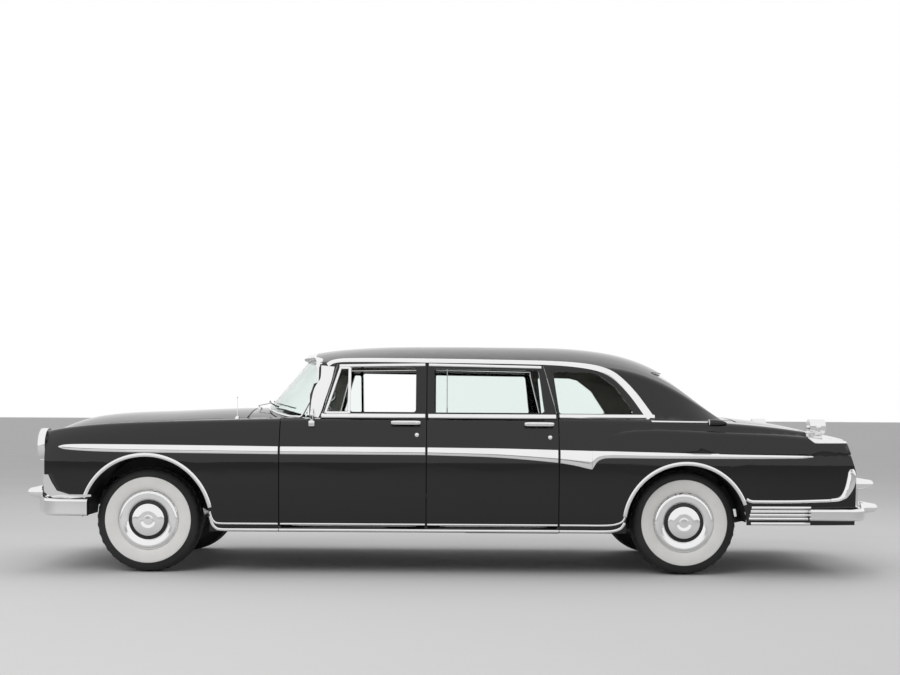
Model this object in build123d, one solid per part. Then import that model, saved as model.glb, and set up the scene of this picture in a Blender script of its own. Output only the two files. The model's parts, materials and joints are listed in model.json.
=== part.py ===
from build123d import *
import os
from collections import namedtuple

# Lengths in millimetres: +X to the rear, +Y to the car's right, +Z up, ground at Z 0
OVERALL_LENGTH = 6160
WHEELBASE = 3797
FRONT_AXLE_X = -2160
REAR_AXLE_X = FRONT_AXLE_X + WHEELBASE
TRACK = 1550
FRONT_TIP_X = -OVERALL_LENGTH / 2
REAR_TIP_X = OVERALL_LENGTH / 2

# Fits
PANEL_GAP = 6
LID_GAP = 14
SLIP = 0.3
RUNNING = 0.06
REACH = 4000

# Panels
SKIN = 14
LID_DEPTH = 24
ROOF_DEPTH = 45
FRAME_DEPTH = 36
GLASS_DEPTH = 6
GLASS_INSET = 14

# Lower body: sections across the car, lofted along it
SILL_Z = 300
WAIST_Z = 780
CREST_RADIUS = 60
Station = namedtuple("Station", "x sill side crest crest_z valley valley_z crown_z")
BODY_STATIONS = [
    Station(-2900, 800, 870, 770, 1000, 560, 985, 1040),
    Station(-2600, 905, 955, 830, 1042, 640, 1040, 1122),
    Station(-2160, 945, 985, 865, 1068, 680, 1072, 1148),
    Station(-1480, 955, 990, 890, 1088, 700, 1098, 1176),
    Station(-700, 955, 990, 905, 1104, 740, 1116, 1165),
    Station(300, 955, 990, 910, 1108, 760, 1118, 1150),
    Station(1200, 955, 990, 905, 1105, 750, 1114, 1145),
    Station(1980, 950, 985, 885, 1075, 700, 1090, 1128),
    Station(2500, 930, 965, 850, 1020, 660, 1030, 1060),
    Station(2840, 880, 925, 810, 950, 640, 945, 965),
]
NOSE_X = BODY_STATIONS[0].x
TAIL_X = BODY_STATIONS[-1].x

# Rear fender haunch, which stands out of the body side
HAUNCH_BASE_Z = 865
HAUNCH_INNER = 700
HAUNCH_RADIUS = 45
Haunch = namedtuple("Haunch", "x low crest crest_z")
HAUNCH_STATIONS = [
    Haunch(860, 955, 930, 905),
    Haunch(1080, 984, 962, 1000),
    Haunch(1300, 988, 972, 1036),
    Haunch(1640, 990, 975, 1034),
    Haunch(2100, 986, 968, 1015),
    Haunch(2500, 968, 945, 990),
    Haunch(2840, 925, 900, 955),
]

# Cabin above the belt
CABIN_BASE_Z = 1040
RAIL_RADIUS = 85
RAIL_RADIUS_LEAST = 25
Arch = namedtuple("Arch", "x base rail rail_z crown_z")
CABIN_STATIONS = [
    Arch(-1560, 872, 715, 1425, 1490),
    Arch(-1100, 882, 742, 1478, 1580),
    Arch(-700, 888, 758, 1500, 1635),
    Arch(-100, 891, 764, 1505, 1655),
    Arch(500, 890, 760, 1496, 1653),
    Arch(1000, 884, 750, 1474, 1632),
    Arch(1300, 872, 732, 1428, 1580),
    Arch(1580, 846, 696, 1320, 1462),
    Arch(1800, 815, 650, 1195, 1290),
    Arch(2000, 782, 605, 1075, 1090),
]
# Windscreen front: plan arcs at two heights
Bow = namedtuple("Bow", "z middle_x end_x end_y")
WINDSCREEN_BOWS = [
    Bow(1000, -1580, -1010, 900),
    Bow(1640, -1030, -880, 820),
]

# Panel lines
BELT_Z = 1100
DOOR_BOTTOM_Z = 348
DOOR_INNER_Y = 865
FRONT_DOOR_X = -1223
MIDDLE_DOOR_X = -190
REAR_DOOR_X = 741
HOOD_REAR_X = -1476
COWL_REAR_X = -1025
COWL_SIDE_X = -1300
LID_FRONT_X = 2050
LID_LOW_Z = 735
TAIL_LEAN = 0.3
WEDGE_TOP_Z = 1300
SHELF_REAR_X = LID_FRONT_X - LID_GAP
FIREWALL_X = -1330
FIREWALL_HALF = 690
NOSE_HALF = 560
TAIL_HALF = 640
FENDER_LOW_Z = 552
QUARTER_LOW_Z = 364

# Wheel arches
FRONT_ARCH_RADIUS = 452
REAR_ARCH_RADIUS = 425
REAR_ARCH_Z = 358

# Wheels
TYRE_RADIUS = 372
TYRE_WIDTH = 216
BEAD_RADIUS = 200
RIM_WIDTH = 160
COVER_RADIUS = 212
DRUM_RADIUS = 150
DRUM_DEPTH = 85
SPINDLE_RADIUS = 22
KINGPIN_Y = 640
WHEEL_Y = TRACK / 2

# Door hinges and lid hinges
HINGE_AHEAD = 66
HINGE_DEEP = 40
HINGE_RADIUS = 8
HINGE_EYE = 15
HINGE_LENGTH = 40
HINGE_HEIGHTS = [560, 860]
HINGE_BEND = [(7, 4), (46, -64), (174, -64), (174, -80), (37, -80), (-7, -4)]
HINGE_ROOM = 26
EDGE_RELIEF = 14
REBATE = 100
LID_HINGE_Y = 120
LID_PIN_RADIUS = 5
LID_EYE = 9
LID_ARM_WIDTH = 24
LID_BEND = [(5, 3), (38, -44), (96, -44), (96, 14), (118, 14), (118, -62), (26, -62), (-5, -3)]
LID_LUG_INNER = 17
LID_LUG_OUTER = 29
HOOD_AXIS = (-1430, 1146)
TRUNK_AXIS = (1990, 1090)
GUTTER_HALF = 560
GUTTER_WIDTH = 45
GUTTER_LOW_Z = 1040

# Windows in side view, X and Z
VENT_PANE = [(-898, 1146), (-752, 1146), (-752, 1452), (-805, 1452)]
FRONT_OPENING = [(-735, 1146), (-268, 1146), (-268, 1462), (-735, 1466)]
REAR_PANE = [(-136, 1144), (648, 1144), (608, 1448), (-136, 1456)]
QUARTER_PANE = [(752, 1140), (1290, 1140), (1160, 1330), (1040, 1420), (975, 1436), (712, 1440)]
PANE_RADIUS = 18

# Door frames above the belt
FRONT_FRAME = [(-945, 1060), (-945, 1105), (-925, 1150), (-830, 1485), (-193, 1496), (-193, 1060)]
REAR_FRAME = [(-187, 1060), (-187, 1496), (640, 1482), (741, 1105), (741, 1060)]

# Chassis
RAIL_INNER_Y = 330
RAIL_WIDTH = 90
RAIL_TOP_Z = 440
RAIL_DEPTH = 110
FLOOR_DEPTH = 16
FLOOR_TOP_Z = RAIL_TOP_Z + FLOOR_DEPTH
TRUNK_FLOOR_Z = 640
SHAFT_Z = 385
SHAFT_RADIUS = 42
AXLE_RADIUS = 45

# Grilles and lamps
LAMP_Y = 745
LAMP_Z = 897
LAMP_RADIUS = 118
LENS_RADIUS = 89
GRILLE_INNER_Y = 70
GRILLE_OUTER_Y = 520
GRILLE_LOW_Z = 640
GRILLE_HIGH_Z = 850
GRILLE_BAR = 9
GRILLE_COLUMNS = 9
GRILLE_ROWS = 4


def across(x):
    return Plane(origin=(x, 0, 0), x_dir=(0, 1, 0), z_dir=(1, 0, 0))


def span(x0, x1, y0, y1, z0, z1):
    block = Box(x1 - x0, y1 - y0, z1 - z0)
    return Pos((x0 + x1) / 2, (y0 + y1) / 2, (z0 + z1) / 2) * block


def side_prism(points, y0, y1, radius=0):
    face = Polygon(*points, align=None)
    if radius:
        face = fillet(face.vertices(), radius)
    return extrude(Plane.XZ.offset(-y1) * face, amount=y1 - y0, dir=(0, -1, 0))


def plan_prism(points, z0, z1):
    return extrude(Pos(0, 0, z0) * Polygon(*points, align=None), amount=z1 - z0, dir=(0, 0, 1))


def rod(x, y, z, radius, length, axis):
    turn = {"X": (0, 90, 0), "Y": (90, 0, 0), "Z": (0, 0, 0)}[axis]
    return Pos(x, y, z) * Rot(*turn) * Cylinder(radius, length)


def both(left):
    return left + mirror(left, about=Plane.XZ)


def pair(left):
    return Compound(children=[*left.solids(), *mirror(left, about=Plane.XZ).solids()])


def group(*shapes):
    return Compound(children=[solid for shape in shapes for solid in shape.solids()])


def body_section(station, inset, x):
    low = SILL_Z - inset * 4
    edges = []
    for sign in (1, -1):
        waist = (sign * (station.side - inset), WAIST_Z)
        sill = (sign * (station.sill - inset), low)
        crest = (sign * (station.crest - inset), station.crest_z - inset)
        valley = (sign * (station.valley - inset), station.valley_z - inset)
        edges.append(TangentArc(waist, sill, tangent=(0, -1)))
        edges.append(TangentArc(waist, crest, tangent=(0, 1)))
        edges.append(Line(crest, valley))
    edges.append(Line((station.sill - inset, low), (inset - station.sill, low)))
    crown = (0, station.crown_z - inset)
    valley_z = station.valley_z - inset
    edges.append(ThreePointArc((station.valley - inset, valley_z), crown, (inset - station.valley, valley_z)))
    face = make_face(edges)
    crest_z = station.crest_z - inset
    corners = [v for v in face.vertices() if abs(v.Y - crest_z) < 1e-6 and abs(v.X) > station.valley]
    return across(x) * fillet(corners, CREST_RADIUS - inset)


def tail_wedge(inset):
    foot = (TAIL_X - inset, LID_LOW_Z)
    head = (foot[0] - TAIL_LEAN * (WEDGE_TOP_Z - LID_LOW_Z), WEDGE_TOP_Z)
    return side_prism([foot, (TAIL_X + 100, LID_LOW_Z), (TAIL_X + 100, WEDGE_TOP_Z), head], -REACH, REACH)


def body_solid(inset):
    faces = []
    for station in BODY_STATIONS:
        x = min(max(station.x, NOSE_X + inset), TAIL_X - inset)
        faces.append(body_section(station, inset, x))
    return loft(faces) - tail_wedge(inset)


def haunch_solid(inset):
    faces = []
    for row in HAUNCH_STATIONS:
        low_z = HAUNCH_BASE_Z - inset * 2
        crest = (row.crest - inset, row.crest_z - inset)
        low = (row.low - inset, low_z)
        inner_low = (HAUNCH_INNER, low_z)
        inner_top = (HAUNCH_INNER, row.crest_z - inset - 25)
        face = make_face([Line(inner_low, low), Line(low, crest), Line(crest, inner_top), Line(inner_top, inner_low)])
        corner = [v for v in face.vertices() if abs(v.X - crest[0]) < 1e-6]
        x = min(row.x, TAIL_X - inset)
        faces.append(across(x) * fillet(corner, HAUNCH_RADIUS - inset))
    return loft(faces) - tail_wedge(inset)


def cabin_arch(inset):
    faces = []
    for row in CABIN_STATIONS:
        base = (row.base - inset, CABIN_BASE_Z - inset)
        rail = (row.rail - inset, row.rail_z - inset)
        crown = (0, row.crown_z - inset)
        edges = [Line((-base[0], base[1]), base), Line(base, rail)]
        edges += [ThreePointArc(rail, crown, (-rail[0], rail[1])), Line((-rail[0], rail[1]), (-base[0], base[1]))]
        face = make_face(edges)
        corners = [v for v in face.vertices() if abs(v.Y - rail[1]) < 1e-6]
        faces.append(across(row.x - inset * 0.5) * fillet(corners, max(RAIL_RADIUS - inset, RAIL_RADIUS_LEAST)))
    return loft(faces)


def windscreen_solid(inset):
    faces = []
    for bow in WINDSCREEN_BOWS:
        shift = inset * 1.3
        left = (bow.end_x + shift, -bow.end_y)
        right = (bow.end_x + shift, bow.end_y)
        middle = (bow.middle_x + shift, 0)
        edges = [ThreePointArc(left, middle, right), Line(right, (REACH, bow.end_y))]
        edges += [Line((REACH, bow.end_y), (REACH, -bow.end_y)), Line((REACH, -bow.end_y), left)]
        faces.append(Pos(0, 0, bow.z - inset * 0.5) * make_face(edges))
    return loft(faces, ruled=True)


def cabin_solid(inset):
    return cabin_arch(inset) & windscreen_solid(inset)


# Envelopes that the panels are cut from
body_outer = body_solid(0)
body_edge = body_solid(SKIN / 2)
body_inner = body_solid(SKIN)
lid_inner = body_solid(LID_DEPTH)
lid_bed = body_solid(LID_DEPTH + SLIP)
haunch_outer = both(haunch_solid(0))
haunch_inner = both(haunch_solid(SKIN))
cabin_outer = cabin_solid(0)
cabin_inner = cabin_solid(ROOF_DEPTH)
cabin_frame = cabin_solid(FRAME_DEPTH)
glass_outer = cabin_solid(GLASS_INSET)
glass_inner = cabin_solid(GLASS_INSET + GLASS_DEPTH)

# Wheel arch and underside cuts
arch_cut = rod(FRONT_AXLE_X, 0, TYRE_RADIUS, FRONT_ARCH_RADIUS, REACH, "Y")
arch_cut += rod(REAR_AXLE_X, 0, REAR_ARCH_Z, REAR_ARCH_RADIUS, REACH, "Y")
under_cut = span(-REACH, FRONT_AXLE_X, -REACH, REACH, 0, FENDER_LOW_Z)
under_cut += span(REAR_AXLE_X, REACH, -REACH, REACH, 0, QUARTER_LOW_Z)

# Lines where the hood and the trunk lid meet the fenders
hood_line = [(s.x, s.valley) for s in BODY_STATIONS if s.x <= -1480]
hood_line = [(NOSE_X - 100, hood_line[0][1])] + hood_line + [(COWL_REAR_X, hood_line[-1][1])]
lid_line = [(s.x, s.valley) for s in BODY_STATIONS if s.x >= 1980]
lid_line = [(LID_FRONT_X - 200, lid_line[0][1])] + lid_line + [(TAIL_X + 100, lid_line[-1][1])]


def band(line, offset, z0, z1):
    points = [(x, y + offset) for x, y in line] + [(x, -y - offset) for x, y in reversed(line)]
    return plan_prism(points, z0, z1)


hood_zone = band(hood_line, 0, 960, 1400)
hood_panel = band(hood_line, -PANEL_GAP, 965, 1400)
lid_zone = band(lid_line, 0, LID_LOW_Z, 1400)
lid_panel = band(lid_line, -PANEL_GAP, LID_LOW_Z + PANEL_GAP, 1400)

# Doors: side outlines with the panel gap taken off one side of each line
half_gap = PANEL_GAP / 2
DOOR_TOP_Z = BELT_Z - 8


def door_box(x0, x1):
    return span(x0 + half_gap, x1 - half_gap, -REACH, -DOOR_INNER_Y, DOOR_BOTTOM_Z, DOOR_TOP_Z)


front_door_low = door_box(FRONT_DOOR_X, MIDDLE_DOOR_X)
rear_door_low = door_box(MIDDLE_DOOR_X, REAR_DOOR_X)
frame_ring = cabin_outer - cabin_frame


def grow(points, amount, radius=0):
    face = offset(Polygon(*points, align=None), amount=amount, kind=Kind.INTERSECTION)
    if radius:
        face = fillet(face.vertices(), radius)
    return face


def side_cut(points, amount, y0, y1, radius=0):
    return extrude(Plane.XZ.offset(-y1) * grow(points, amount, radius), amount=y1 - y0, dir=(0, -1, 0))


def door(low_box, frame, panes, front_x, rear_x):
    slab = body_outer & low_box
    inside = body_inner & span(front_x - 50, front_x + REBATE, -REACH, 0, 0, REACH)
    inside += body_inner & span(rear_x - REBATE, rear_x + 50, -REACH, 0, 0, REACH)
    upper = frame_ring & side_prism(frame, -REACH, 0)
    shape = (slab - inside) + upper
    for pane in panes:
        shape -= side_cut(pane, 0, -REACH, 0, PANE_RADIUS)
    shape -= body_edge & span(front_x, front_x + EDGE_RELIEF, -REACH, 0, 0, BELT_Z)
    hinge_x = front_x - HINGE_AHEAD
    hinge_y = HINGE_DEEP - waist_half
    bend = [(hinge_x + u, hinge_y - v) for u, v in HINGE_BEND]
    for z in HINGE_HEIGHTS:
        shape += plan_prism(bend, z - HINGE_LENGTH / 2, z + HINGE_LENGTH / 2)
        shape += rod(hinge_x, hinge_y, z, HINGE_EYE, HINGE_LENGTH, "Z")
        shape -= rod(hinge_x, hinge_y, z, HINGE_RADIUS + RUNNING, HINGE_LENGTH + 2, "Z")
    return shape


waist_half = BODY_STATIONS[4].side
front_door = door(front_door_low, FRONT_FRAME, [VENT_PANE, FRONT_OPENING], FRONT_DOOR_X, MIDDLE_DOOR_X)
rear_door = door(rear_door_low, REAR_FRAME, [REAR_PANE], MIDDLE_DOOR_X, REAR_DOOR_X)


def pane(points):
    slab = glass_outer - glass_inner
    return slab & side_cut(points, -SLIP, -REACH, 0, PANE_RADIUS - SLIP)


front_door_glass = pane(VENT_PANE)
rear_door_glass = pane(REAR_PANE)

# Fixed shell: the skin of body, haunches and cabin together
shell = (body_outer + haunch_outer + cabin_outer) - body_inner - haunch_inner - cabin_inner
shell = shell - arch_cut - under_cut
WINDSCREEN_PANE = [(-840, 1000), (840, 1000), (770, 1500), (600, 1535), (-600, 1535), (-770, 1500)]
BACKLIGHT_PANE = [(-600, 1150), (600, 1150), (560, 1450), (-560, 1450)]


def front_hole(amount):
    return extrude(across(-1700) * grow(WINDSCREEN_PANE, amount), amount=740, dir=(1, 0, 0))


def rear_hole(amount):
    return extrude(across(1350) * grow(BACKLIGHT_PANE, amount, 60), amount=620, dir=(1, 0, 0))


windscreen_hole = front_hole(0)
backlight_hole = rear_hole(0)
frames_cut = side_cut(FRONT_FRAME[:4] + REAR_FRAME[1:], PANEL_GAP, -REACH, REACH)
quarter_hole = side_cut(QUARTER_PANE, 0, -REACH, REACH, PANE_RADIUS)

roof = shell & span(COWL_REAR_X, SHELF_REAR_X, -REACH, REACH, BELT_Z, REACH)
roof = roof - frames_cut - (windscreen_hole - body_outer) - (backlight_hole - body_outer) - quarter_hole


def gutter(x0, x1):
    return span(x0, x1, -GUTTER_HALF, GUTTER_HALF, GUTTER_LOW_Z, REACH)


roof += body_inner & gutter(SHELF_REAR_X - SKIN, SHELF_REAR_X)
roof += lid_bed & gutter(SHELF_REAR_X - SKIN, LID_FRONT_X + GUTTER_WIDTH)

cowl_zone = span(HOOD_REAR_X, COWL_REAR_X, -REACH, REACH, BELT_Z - 2, REACH) & band(hood_line, 0, 0, REACH)
cowl_zone += span(COWL_SIDE_X, COWL_REAR_X, -REACH, REACH, BELT_Z - 2, REACH)
cowl = (body_outer - body_inner - cabin_inner) & cowl_zone
cowl += body_inner & gutter(HOOD_REAR_X, HOOD_REAR_X + SKIN)
cowl += lid_bed & gutter(HOOD_REAR_X - GUTTER_WIDTH, HOOD_REAR_X + SKIN)
cowl += body_inner & span(FIREWALL_X - SKIN, FIREWALL_X, -FIREWALL_HALF, FIREWALL_HALF, FLOOR_TOP_Z, REACH)

front_zone = span(-REACH, FRONT_DOOR_X - half_gap, -REACH, REACH, 0, REACH) - hood_zone
front_skin = (body_outer - body_inner - arch_cut - under_cut) & front_zone
nose_zone = span(-REACH, NOSE_X + SKIN + 1, -NOSE_HALF, NOSE_HALF, 0, REACH)
front_fenders = front_skin - nose_zone - cowl_zone
nose_panel = front_skin & nose_zone

rear_zone = span(REAR_DOOR_X + half_gap, REACH, -REACH, REACH, 0, REACH)
rear_skin = ((shell & rear_zone) - lid_zone) & span(-REACH, REACH, -REACH, REACH, 0, BELT_Z)
tail_zone = span(TAIL_X - SKIN - 1, REACH, -TAIL_HALF, TAIL_HALF, 0, REACH)
quarter_panels = rear_skin - tail_zone
tail_panel = rear_skin & tail_zone

hood = (body_outer - lid_inner) & hood_panel & span(-REACH, HOOD_REAR_X - LID_GAP, -REACH, REACH, 0, REACH)
deck_lid = (body_outer - lid_inner) & lid_panel & span(LID_FRONT_X, REACH, -REACH, REACH, 0, REACH)


# Lid hinges: arms that bend round the edge of the fixed skin, on pins between lugs
def lid_arm(axis, way):
    x, z = axis
    bend = [(x + way * u, z + v) for u, v in LID_BEND]
    shape = side_prism(bend, -LID_HINGE_Y - LID_ARM_WIDTH / 2, LID_ARM_WIDTH / 2 - LID_HINGE_Y)
    shape += rod(x, -LID_HINGE_Y, z, LID_EYE, LID_ARM_WIDTH, "Y")
    shape -= rod(x, -LID_HINGE_Y, z, LID_PIN_RADIUS + RUNNING, LID_ARM_WIDTH + 2, "Y")
    return both(shape)


def lid_slot(axis, way):
    near, far = sorted((axis[0] + way * 30, axis[0] + way * 110))
    slot = span(near, far, -LID_HINGE_Y - 20, 20 - LID_HINGE_Y, GUTTER_LOW_Z - 1, REACH)
    return both(body_inner & slot)


def lid_pin(axis):
    x, z = axis
    shape = rod(x, -LID_HINGE_Y, z, LID_PIN_RADIUS, 2 * LID_LUG_OUTER, "Y")
    for sign in (1, -1):
        ends = sorted((sign * LID_LUG_INNER - LID_HINGE_Y, sign * LID_LUG_OUTER - LID_HINGE_Y))
        shape += body_outer & span(x - LID_EYE, x + LID_EYE, *ends, z - LID_EYE, z + 26)
    return both(shape)


hood += lid_arm(HOOD_AXIS, -1)
cowl = cowl - lid_slot(HOOD_AXIS, -1) + lid_pin(HOOD_AXIS)
deck_lid += lid_arm(TRUNK_AXIS, 1)
roof = roof - lid_slot(TRUNK_AXIS, 1) + lid_pin(TRUNK_AXIS)

# Panes fixed in the shell
pane_slab = glass_outer - glass_inner
windscreen = (pane_slab & front_hole(-SLIP)) - body_outer
backlight = (pane_slab & rear_hole(-SLIP)) - body_outer
quarter_glass = pane(QUARTER_PANE)

# Sills and door posts
SILL_INNER_Y = 790
SILL_BOX_Y = 858
POST_Y = 925
POST_INNER_Y = 828
POST_HALF = 90
POST_TOP_Z = 985
SILL_LIP_Z = DOOR_BOTTOM_Z - PANEL_GAP
sill_x0 = FRONT_AXLE_X + FRONT_ARCH_RADIUS + 12
sill_x1 = REAR_AXLE_X - REAR_ARCH_RADIUS - 12
sill = span(sill_x0, sill_x1, -SILL_BOX_Y, -SILL_INNER_Y, SILL_Z, RAIL_TOP_Z)
sill_cover = span(FRONT_DOOR_X - half_gap, REAR_DOOR_X + half_gap, -REACH, -SILL_BOX_Y, SILL_Z, SILL_LIP_Z)
sill += body_outer & sill_cover


def hinge_pins(front_x):
    x = front_x - HINGE_AHEAD
    y = HINGE_DEEP - waist_half
    shape = None
    for z in HINGE_HEIGHTS:
        pin = rod(x, y, z, HINGE_RADIUS, HINGE_LENGTH + 40, "Z")
        for sign in (1, -1):
            mid = z + sign * (HINGE_LENGTH / 2 + 14)
            pin += span(x - 12, x + 12, y - 8, -POST_Y + 2, mid - 8, mid + 8)
        shape = pin if shape is None else shape + pin
    return shape


def hinge_pockets(front_x):
    x = front_x - HINGE_AHEAD
    shape = None
    for z in HINGE_HEIGHTS:
        pocket = span(x - 20, x + 180, -POST_Y - 1, -SILL_BOX_Y - 4, z - HINGE_ROOM, z + HINGE_ROOM)
        shape = pocket if shape is None else shape + pocket
    return shape


hinge_post_x0 = FRONT_DOOR_X - HINGE_AHEAD - POST_HALF
hinge_post = span(hinge_post_x0, FRONT_DOOR_X - 20, -POST_Y, -SILL_BOX_Y, SILL_Z, POST_TOP_Z)
hinge_post = hinge_post - hinge_pockets(FRONT_DOOR_X) + hinge_pins(FRONT_DOOR_X)
post_x0 = MIDDLE_DOOR_X - REBATE + 10
post_x1 = MIDDLE_DOOR_X + REBATE - 10
middle_post = span(post_x0, post_x1, -POST_Y, -SILL_BOX_Y, SILL_LIP_Z, POST_TOP_Z)
middle_post = middle_post - hinge_pockets(MIDDLE_DOOR_X)
middle_post += span(post_x0, post_x1, -SILL_BOX_Y, -POST_INNER_Y, FLOOR_TOP_Z + SLIP, POST_TOP_Z)
middle_post += span(post_x0, post_x1, -POST_Y, -800, POST_TOP_Z - 85, POST_TOP_Z)
middle_post += span(post_x0 + 30, post_x1 - 30, -840, -800, POST_TOP_Z - 85, POST_TOP_Z + 55)
pillar_ring = cabin_inner - cabin_solid(ROOF_DEPTH + 40)
middle_post += pillar_ring & span(post_x0 + 30, post_x1 - 30, -REACH, 0, POST_TOP_Z + 30, 1520)
middle_post += hinge_pins(MIDDLE_DOOR_X)
latch_post = span(REAR_DOOR_X - REBATE + 11, REAR_DOOR_X + 60, -POST_Y, -SILL_BOX_Y, SILL_LIP_Z, POST_TOP_Z)

# Floor, trunk floor and rear wheel houses
SEAT_RISE_X = 1240
floor = span(FIREWALL_X - SKIN, SEAT_RISE_X + FLOOR_DEPTH, -SILL_BOX_Y, SILL_BOX_Y, RAIL_TOP_Z, FLOOR_TOP_Z)
HOUSE_Y = 640
floor = floor - arch_cut
floor += span(SEAT_RISE_X, SEAT_RISE_X + FLOOR_DEPTH, -HOUSE_Y, HOUSE_Y, RAIL_TOP_Z, TRUNK_FLOOR_Z)
floor += span(SEAT_RISE_X, TAIL_X - SKIN - 2, -HOUSE_Y, HOUSE_Y, TRUNK_FLOOR_Z, TRUNK_FLOOR_Z + FLOOR_DEPTH)
house_radius = REAR_ARCH_RADIUS + SKIN
house = rod(REAR_AXLE_X, 0, REAR_ARCH_Z, house_radius, REACH, "Y")
house = house - rod(REAR_AXLE_X, 0, REAR_ARCH_Z, REAR_ARCH_RADIUS, REACH, "Y")
house = house & body_inner & span(-REACH, REACH, -REACH, -HOUSE_Y, FLOOR_TOP_Z, REACH)
house_wall = rod(REAR_AXLE_X, SKIN / 2 - HOUSE_Y, REAR_ARCH_Z, house_radius, SKIN, "Y")
house += house_wall & span(-REACH, REACH, -REACH, 0, FLOOR_TOP_Z, REACH)
floor += both(house)

# Cabin fittings
DIVISION_X = -60
DIVISION_HALF = 780
DIVISION_Z = 1120
division = span(DIVISION_X, DIVISION_X + 30, -DIVISION_HALF, DIVISION_HALF, FLOOR_TOP_Z, DIVISION_Z)
division_glass_x = DIVISION_X + 12
division_glass = cabin_inner & span(division_glass_x, division_glass_x + GLASS_DEPTH, -REACH, REACH, DIVISION_Z, REACH)
FRONT_SEAT = [(-700, FLOOR_TOP_Z), (-700, 640), (-640, 690), (-270, 640), (-170, 1080)]
FRONT_SEAT += [(DIVISION_X, 1090), (DIVISION_X, FLOOR_TOP_Z)]
seat_shelf_z = TRUNK_FLOOR_Z + FLOOR_DEPTH
REAR_SEAT = [(900, FLOOR_TOP_Z), (900, 650), (960, 705), (1290, 685), (1410, 1080), (1520, 1100)]
REAR_SEAT += [(1520, seat_shelf_z), (SEAT_RISE_X, seat_shelf_z), (SEAT_RISE_X, FLOOR_TOP_Z)]
front_seat = side_prism(FRONT_SEAT, -770, 770)
rear_seat = side_prism(REAR_SEAT, -615, 615)
DASH = [(-1330, 900), (-1330, 1078), (-1070, 1078), (-1000, 1040), (-1000, 880), (-1110, 850)]
dashboard = side_prism(DASH, -800, 800)
WHEEL_AT = (-840, -380, 1000)
column = Pos(*WHEEL_AT) * Rot(0, 62, 0)
rim = Torus(205, 13) + Cylinder(38, 50) + Box(400, 26, 14)
steering_wheel = column * (rim + Pos(0, 0, -170) * Cylinder(26, 340))
steering_wheel = steering_wheel - dashboard - span(-REACH, -1100, -REACH, REACH, 0, REACH)

# Frame
RAIL_OUTER_Y = RAIL_INNER_Y + RAIL_WIDTH
RAIL_LOW_Z = RAIL_TOP_Z - RAIL_DEPTH
kick_up = TRUNK_FLOOR_Z - RAIL_DEPTH
rail_top = [(-2840, 560), (-1850, 560), (-1650, RAIL_TOP_Z), (1260, RAIL_TOP_Z)]
rail_top += [(1430, TRUNK_FLOOR_Z), (2790, TRUNK_FLOOR_Z)]
rail_low = [(2790, kick_up), (1480, kick_up), (1310, RAIL_LOW_Z), (-1690, RAIL_LOW_Z), (-1890, 450), (-2840, 450)]
JACK_PADS = [-1400, 600]
JACK_PAD_DEPTH = 12
rail = side_prism(rail_top + rail_low, -RAIL_OUTER_Y, -RAIL_INNER_Y)
for x in JACK_PADS:
    pad_z = RAIL_LOW_Z - JACK_PAD_DEPTH
    rail += span(x - 60, x + 60, 10 - RAIL_OUTER_Y, -RAIL_INNER_Y - 10, pad_z, RAIL_LOW_Z + 1)
Member = namedtuple("Member", "x half_length half_width z0 z1")
MEMBERS = [
    Member(-2790, 40, RAIL_INNER_Y, 460, 550),
    Member(FRONT_AXLE_X, 100, RAIL_OUTER_Y, 330, 450),
    Member(-1100, 50, RAIL_OUTER_Y, 295, 330),
    Member(-100, 50, RAIL_OUTER_Y, 295, 330),
    Member(900, 50, RAIL_OUTER_Y, 295, 330),
    Member(1480, 40, RAIL_INNER_Y, 560, TRUNK_FLOOR_Z),
    Member(2120, 40, RAIL_INNER_Y, 560, TRUNK_FLOOR_Z),
    Member(2740, 40, RAIL_INNER_Y, 560, TRUNK_FLOOR_Z),
]
members = []
for m in MEMBERS:
    member = span(m.x - m.half_length, m.x + m.half_length, -m.half_width, m.half_width, m.z0, m.z1)
    members.append(member)
cross_members = Compound(children=members)

# Engine with its gearbox, one plain block
engine_block = span(-2300, -1560, -290, 290, 450, 1000)
engine_block += span(-1560, -1380, -180, 180, 400, 720)
engine_block += span(-1380, -900, -110, 110, 340, 435)
shaft_x1 = REAR_AXLE_X - 190
propeller_shaft = rod((shaft_x1 - 900) / 2, 0, SHAFT_Z, SHAFT_RADIUS, shaft_x1 + 900, "X")

# Axles, springs and arms
AXLE_END_Y = WHEEL_Y - DRUM_DEPTH - 2
SPINDLE_END_Y = WHEEL_Y + 14
rear_axle = rod(REAR_AXLE_X, 0, TYRE_RADIUS, AXLE_RADIUS, 2 * AXLE_END_Y, "Y")
rear_axle += rod(REAR_AXLE_X, 0, TYRE_RADIUS, SPINDLE_RADIUS, 2 * SPINDLE_END_Y, "Y")
rear_axle += Pos(REAR_AXLE_X, 0, TYRE_RADIUS) * Sphere(140)
rear_axle += rod(shaft_x1 + 60, 0, SHAFT_Z, 62, 120, "X")
SPRING_Y0 = -RAIL_OUTER_Y - 66
SPRING_Y1 = -RAIL_OUTER_Y - 6
leaf_top = TYRE_RADIUS - AXLE_RADIUS
LEAF = 36
leaf_face = make_face([
    ThreePointArc((1010, 372), (REAR_AXLE_X, leaf_top), (2290, 430)),
    Line((2290, 430), (2290, 430 - LEAF)),
    ThreePointArc((2290, 430 - LEAF), (REAR_AXLE_X, leaf_top - LEAF), (1010, 372 - LEAF)),
    Line((1010, 372 - LEAF), (1010, 372)),
])
spring = extrude(Plane.XZ.offset(-SPRING_Y1) * leaf_face, amount=SPRING_Y1 - SPRING_Y0, dir=(0, -1, 0))
spring = spring - rear_axle
spring += rod(1010, (SPRING_Y0 - RAIL_OUTER_Y) / 2, 372, 32, -SPRING_Y0 - RAIL_OUTER_Y, "Y")
spring += span(2270, 2312, SPRING_Y0, -RAIL_OUTER_Y, 405, 600)
kingpin_room = rod(FRONT_AXLE_X, -KINGPIN_Y, 400, 32 + RUNNING, 600, "Z")


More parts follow.
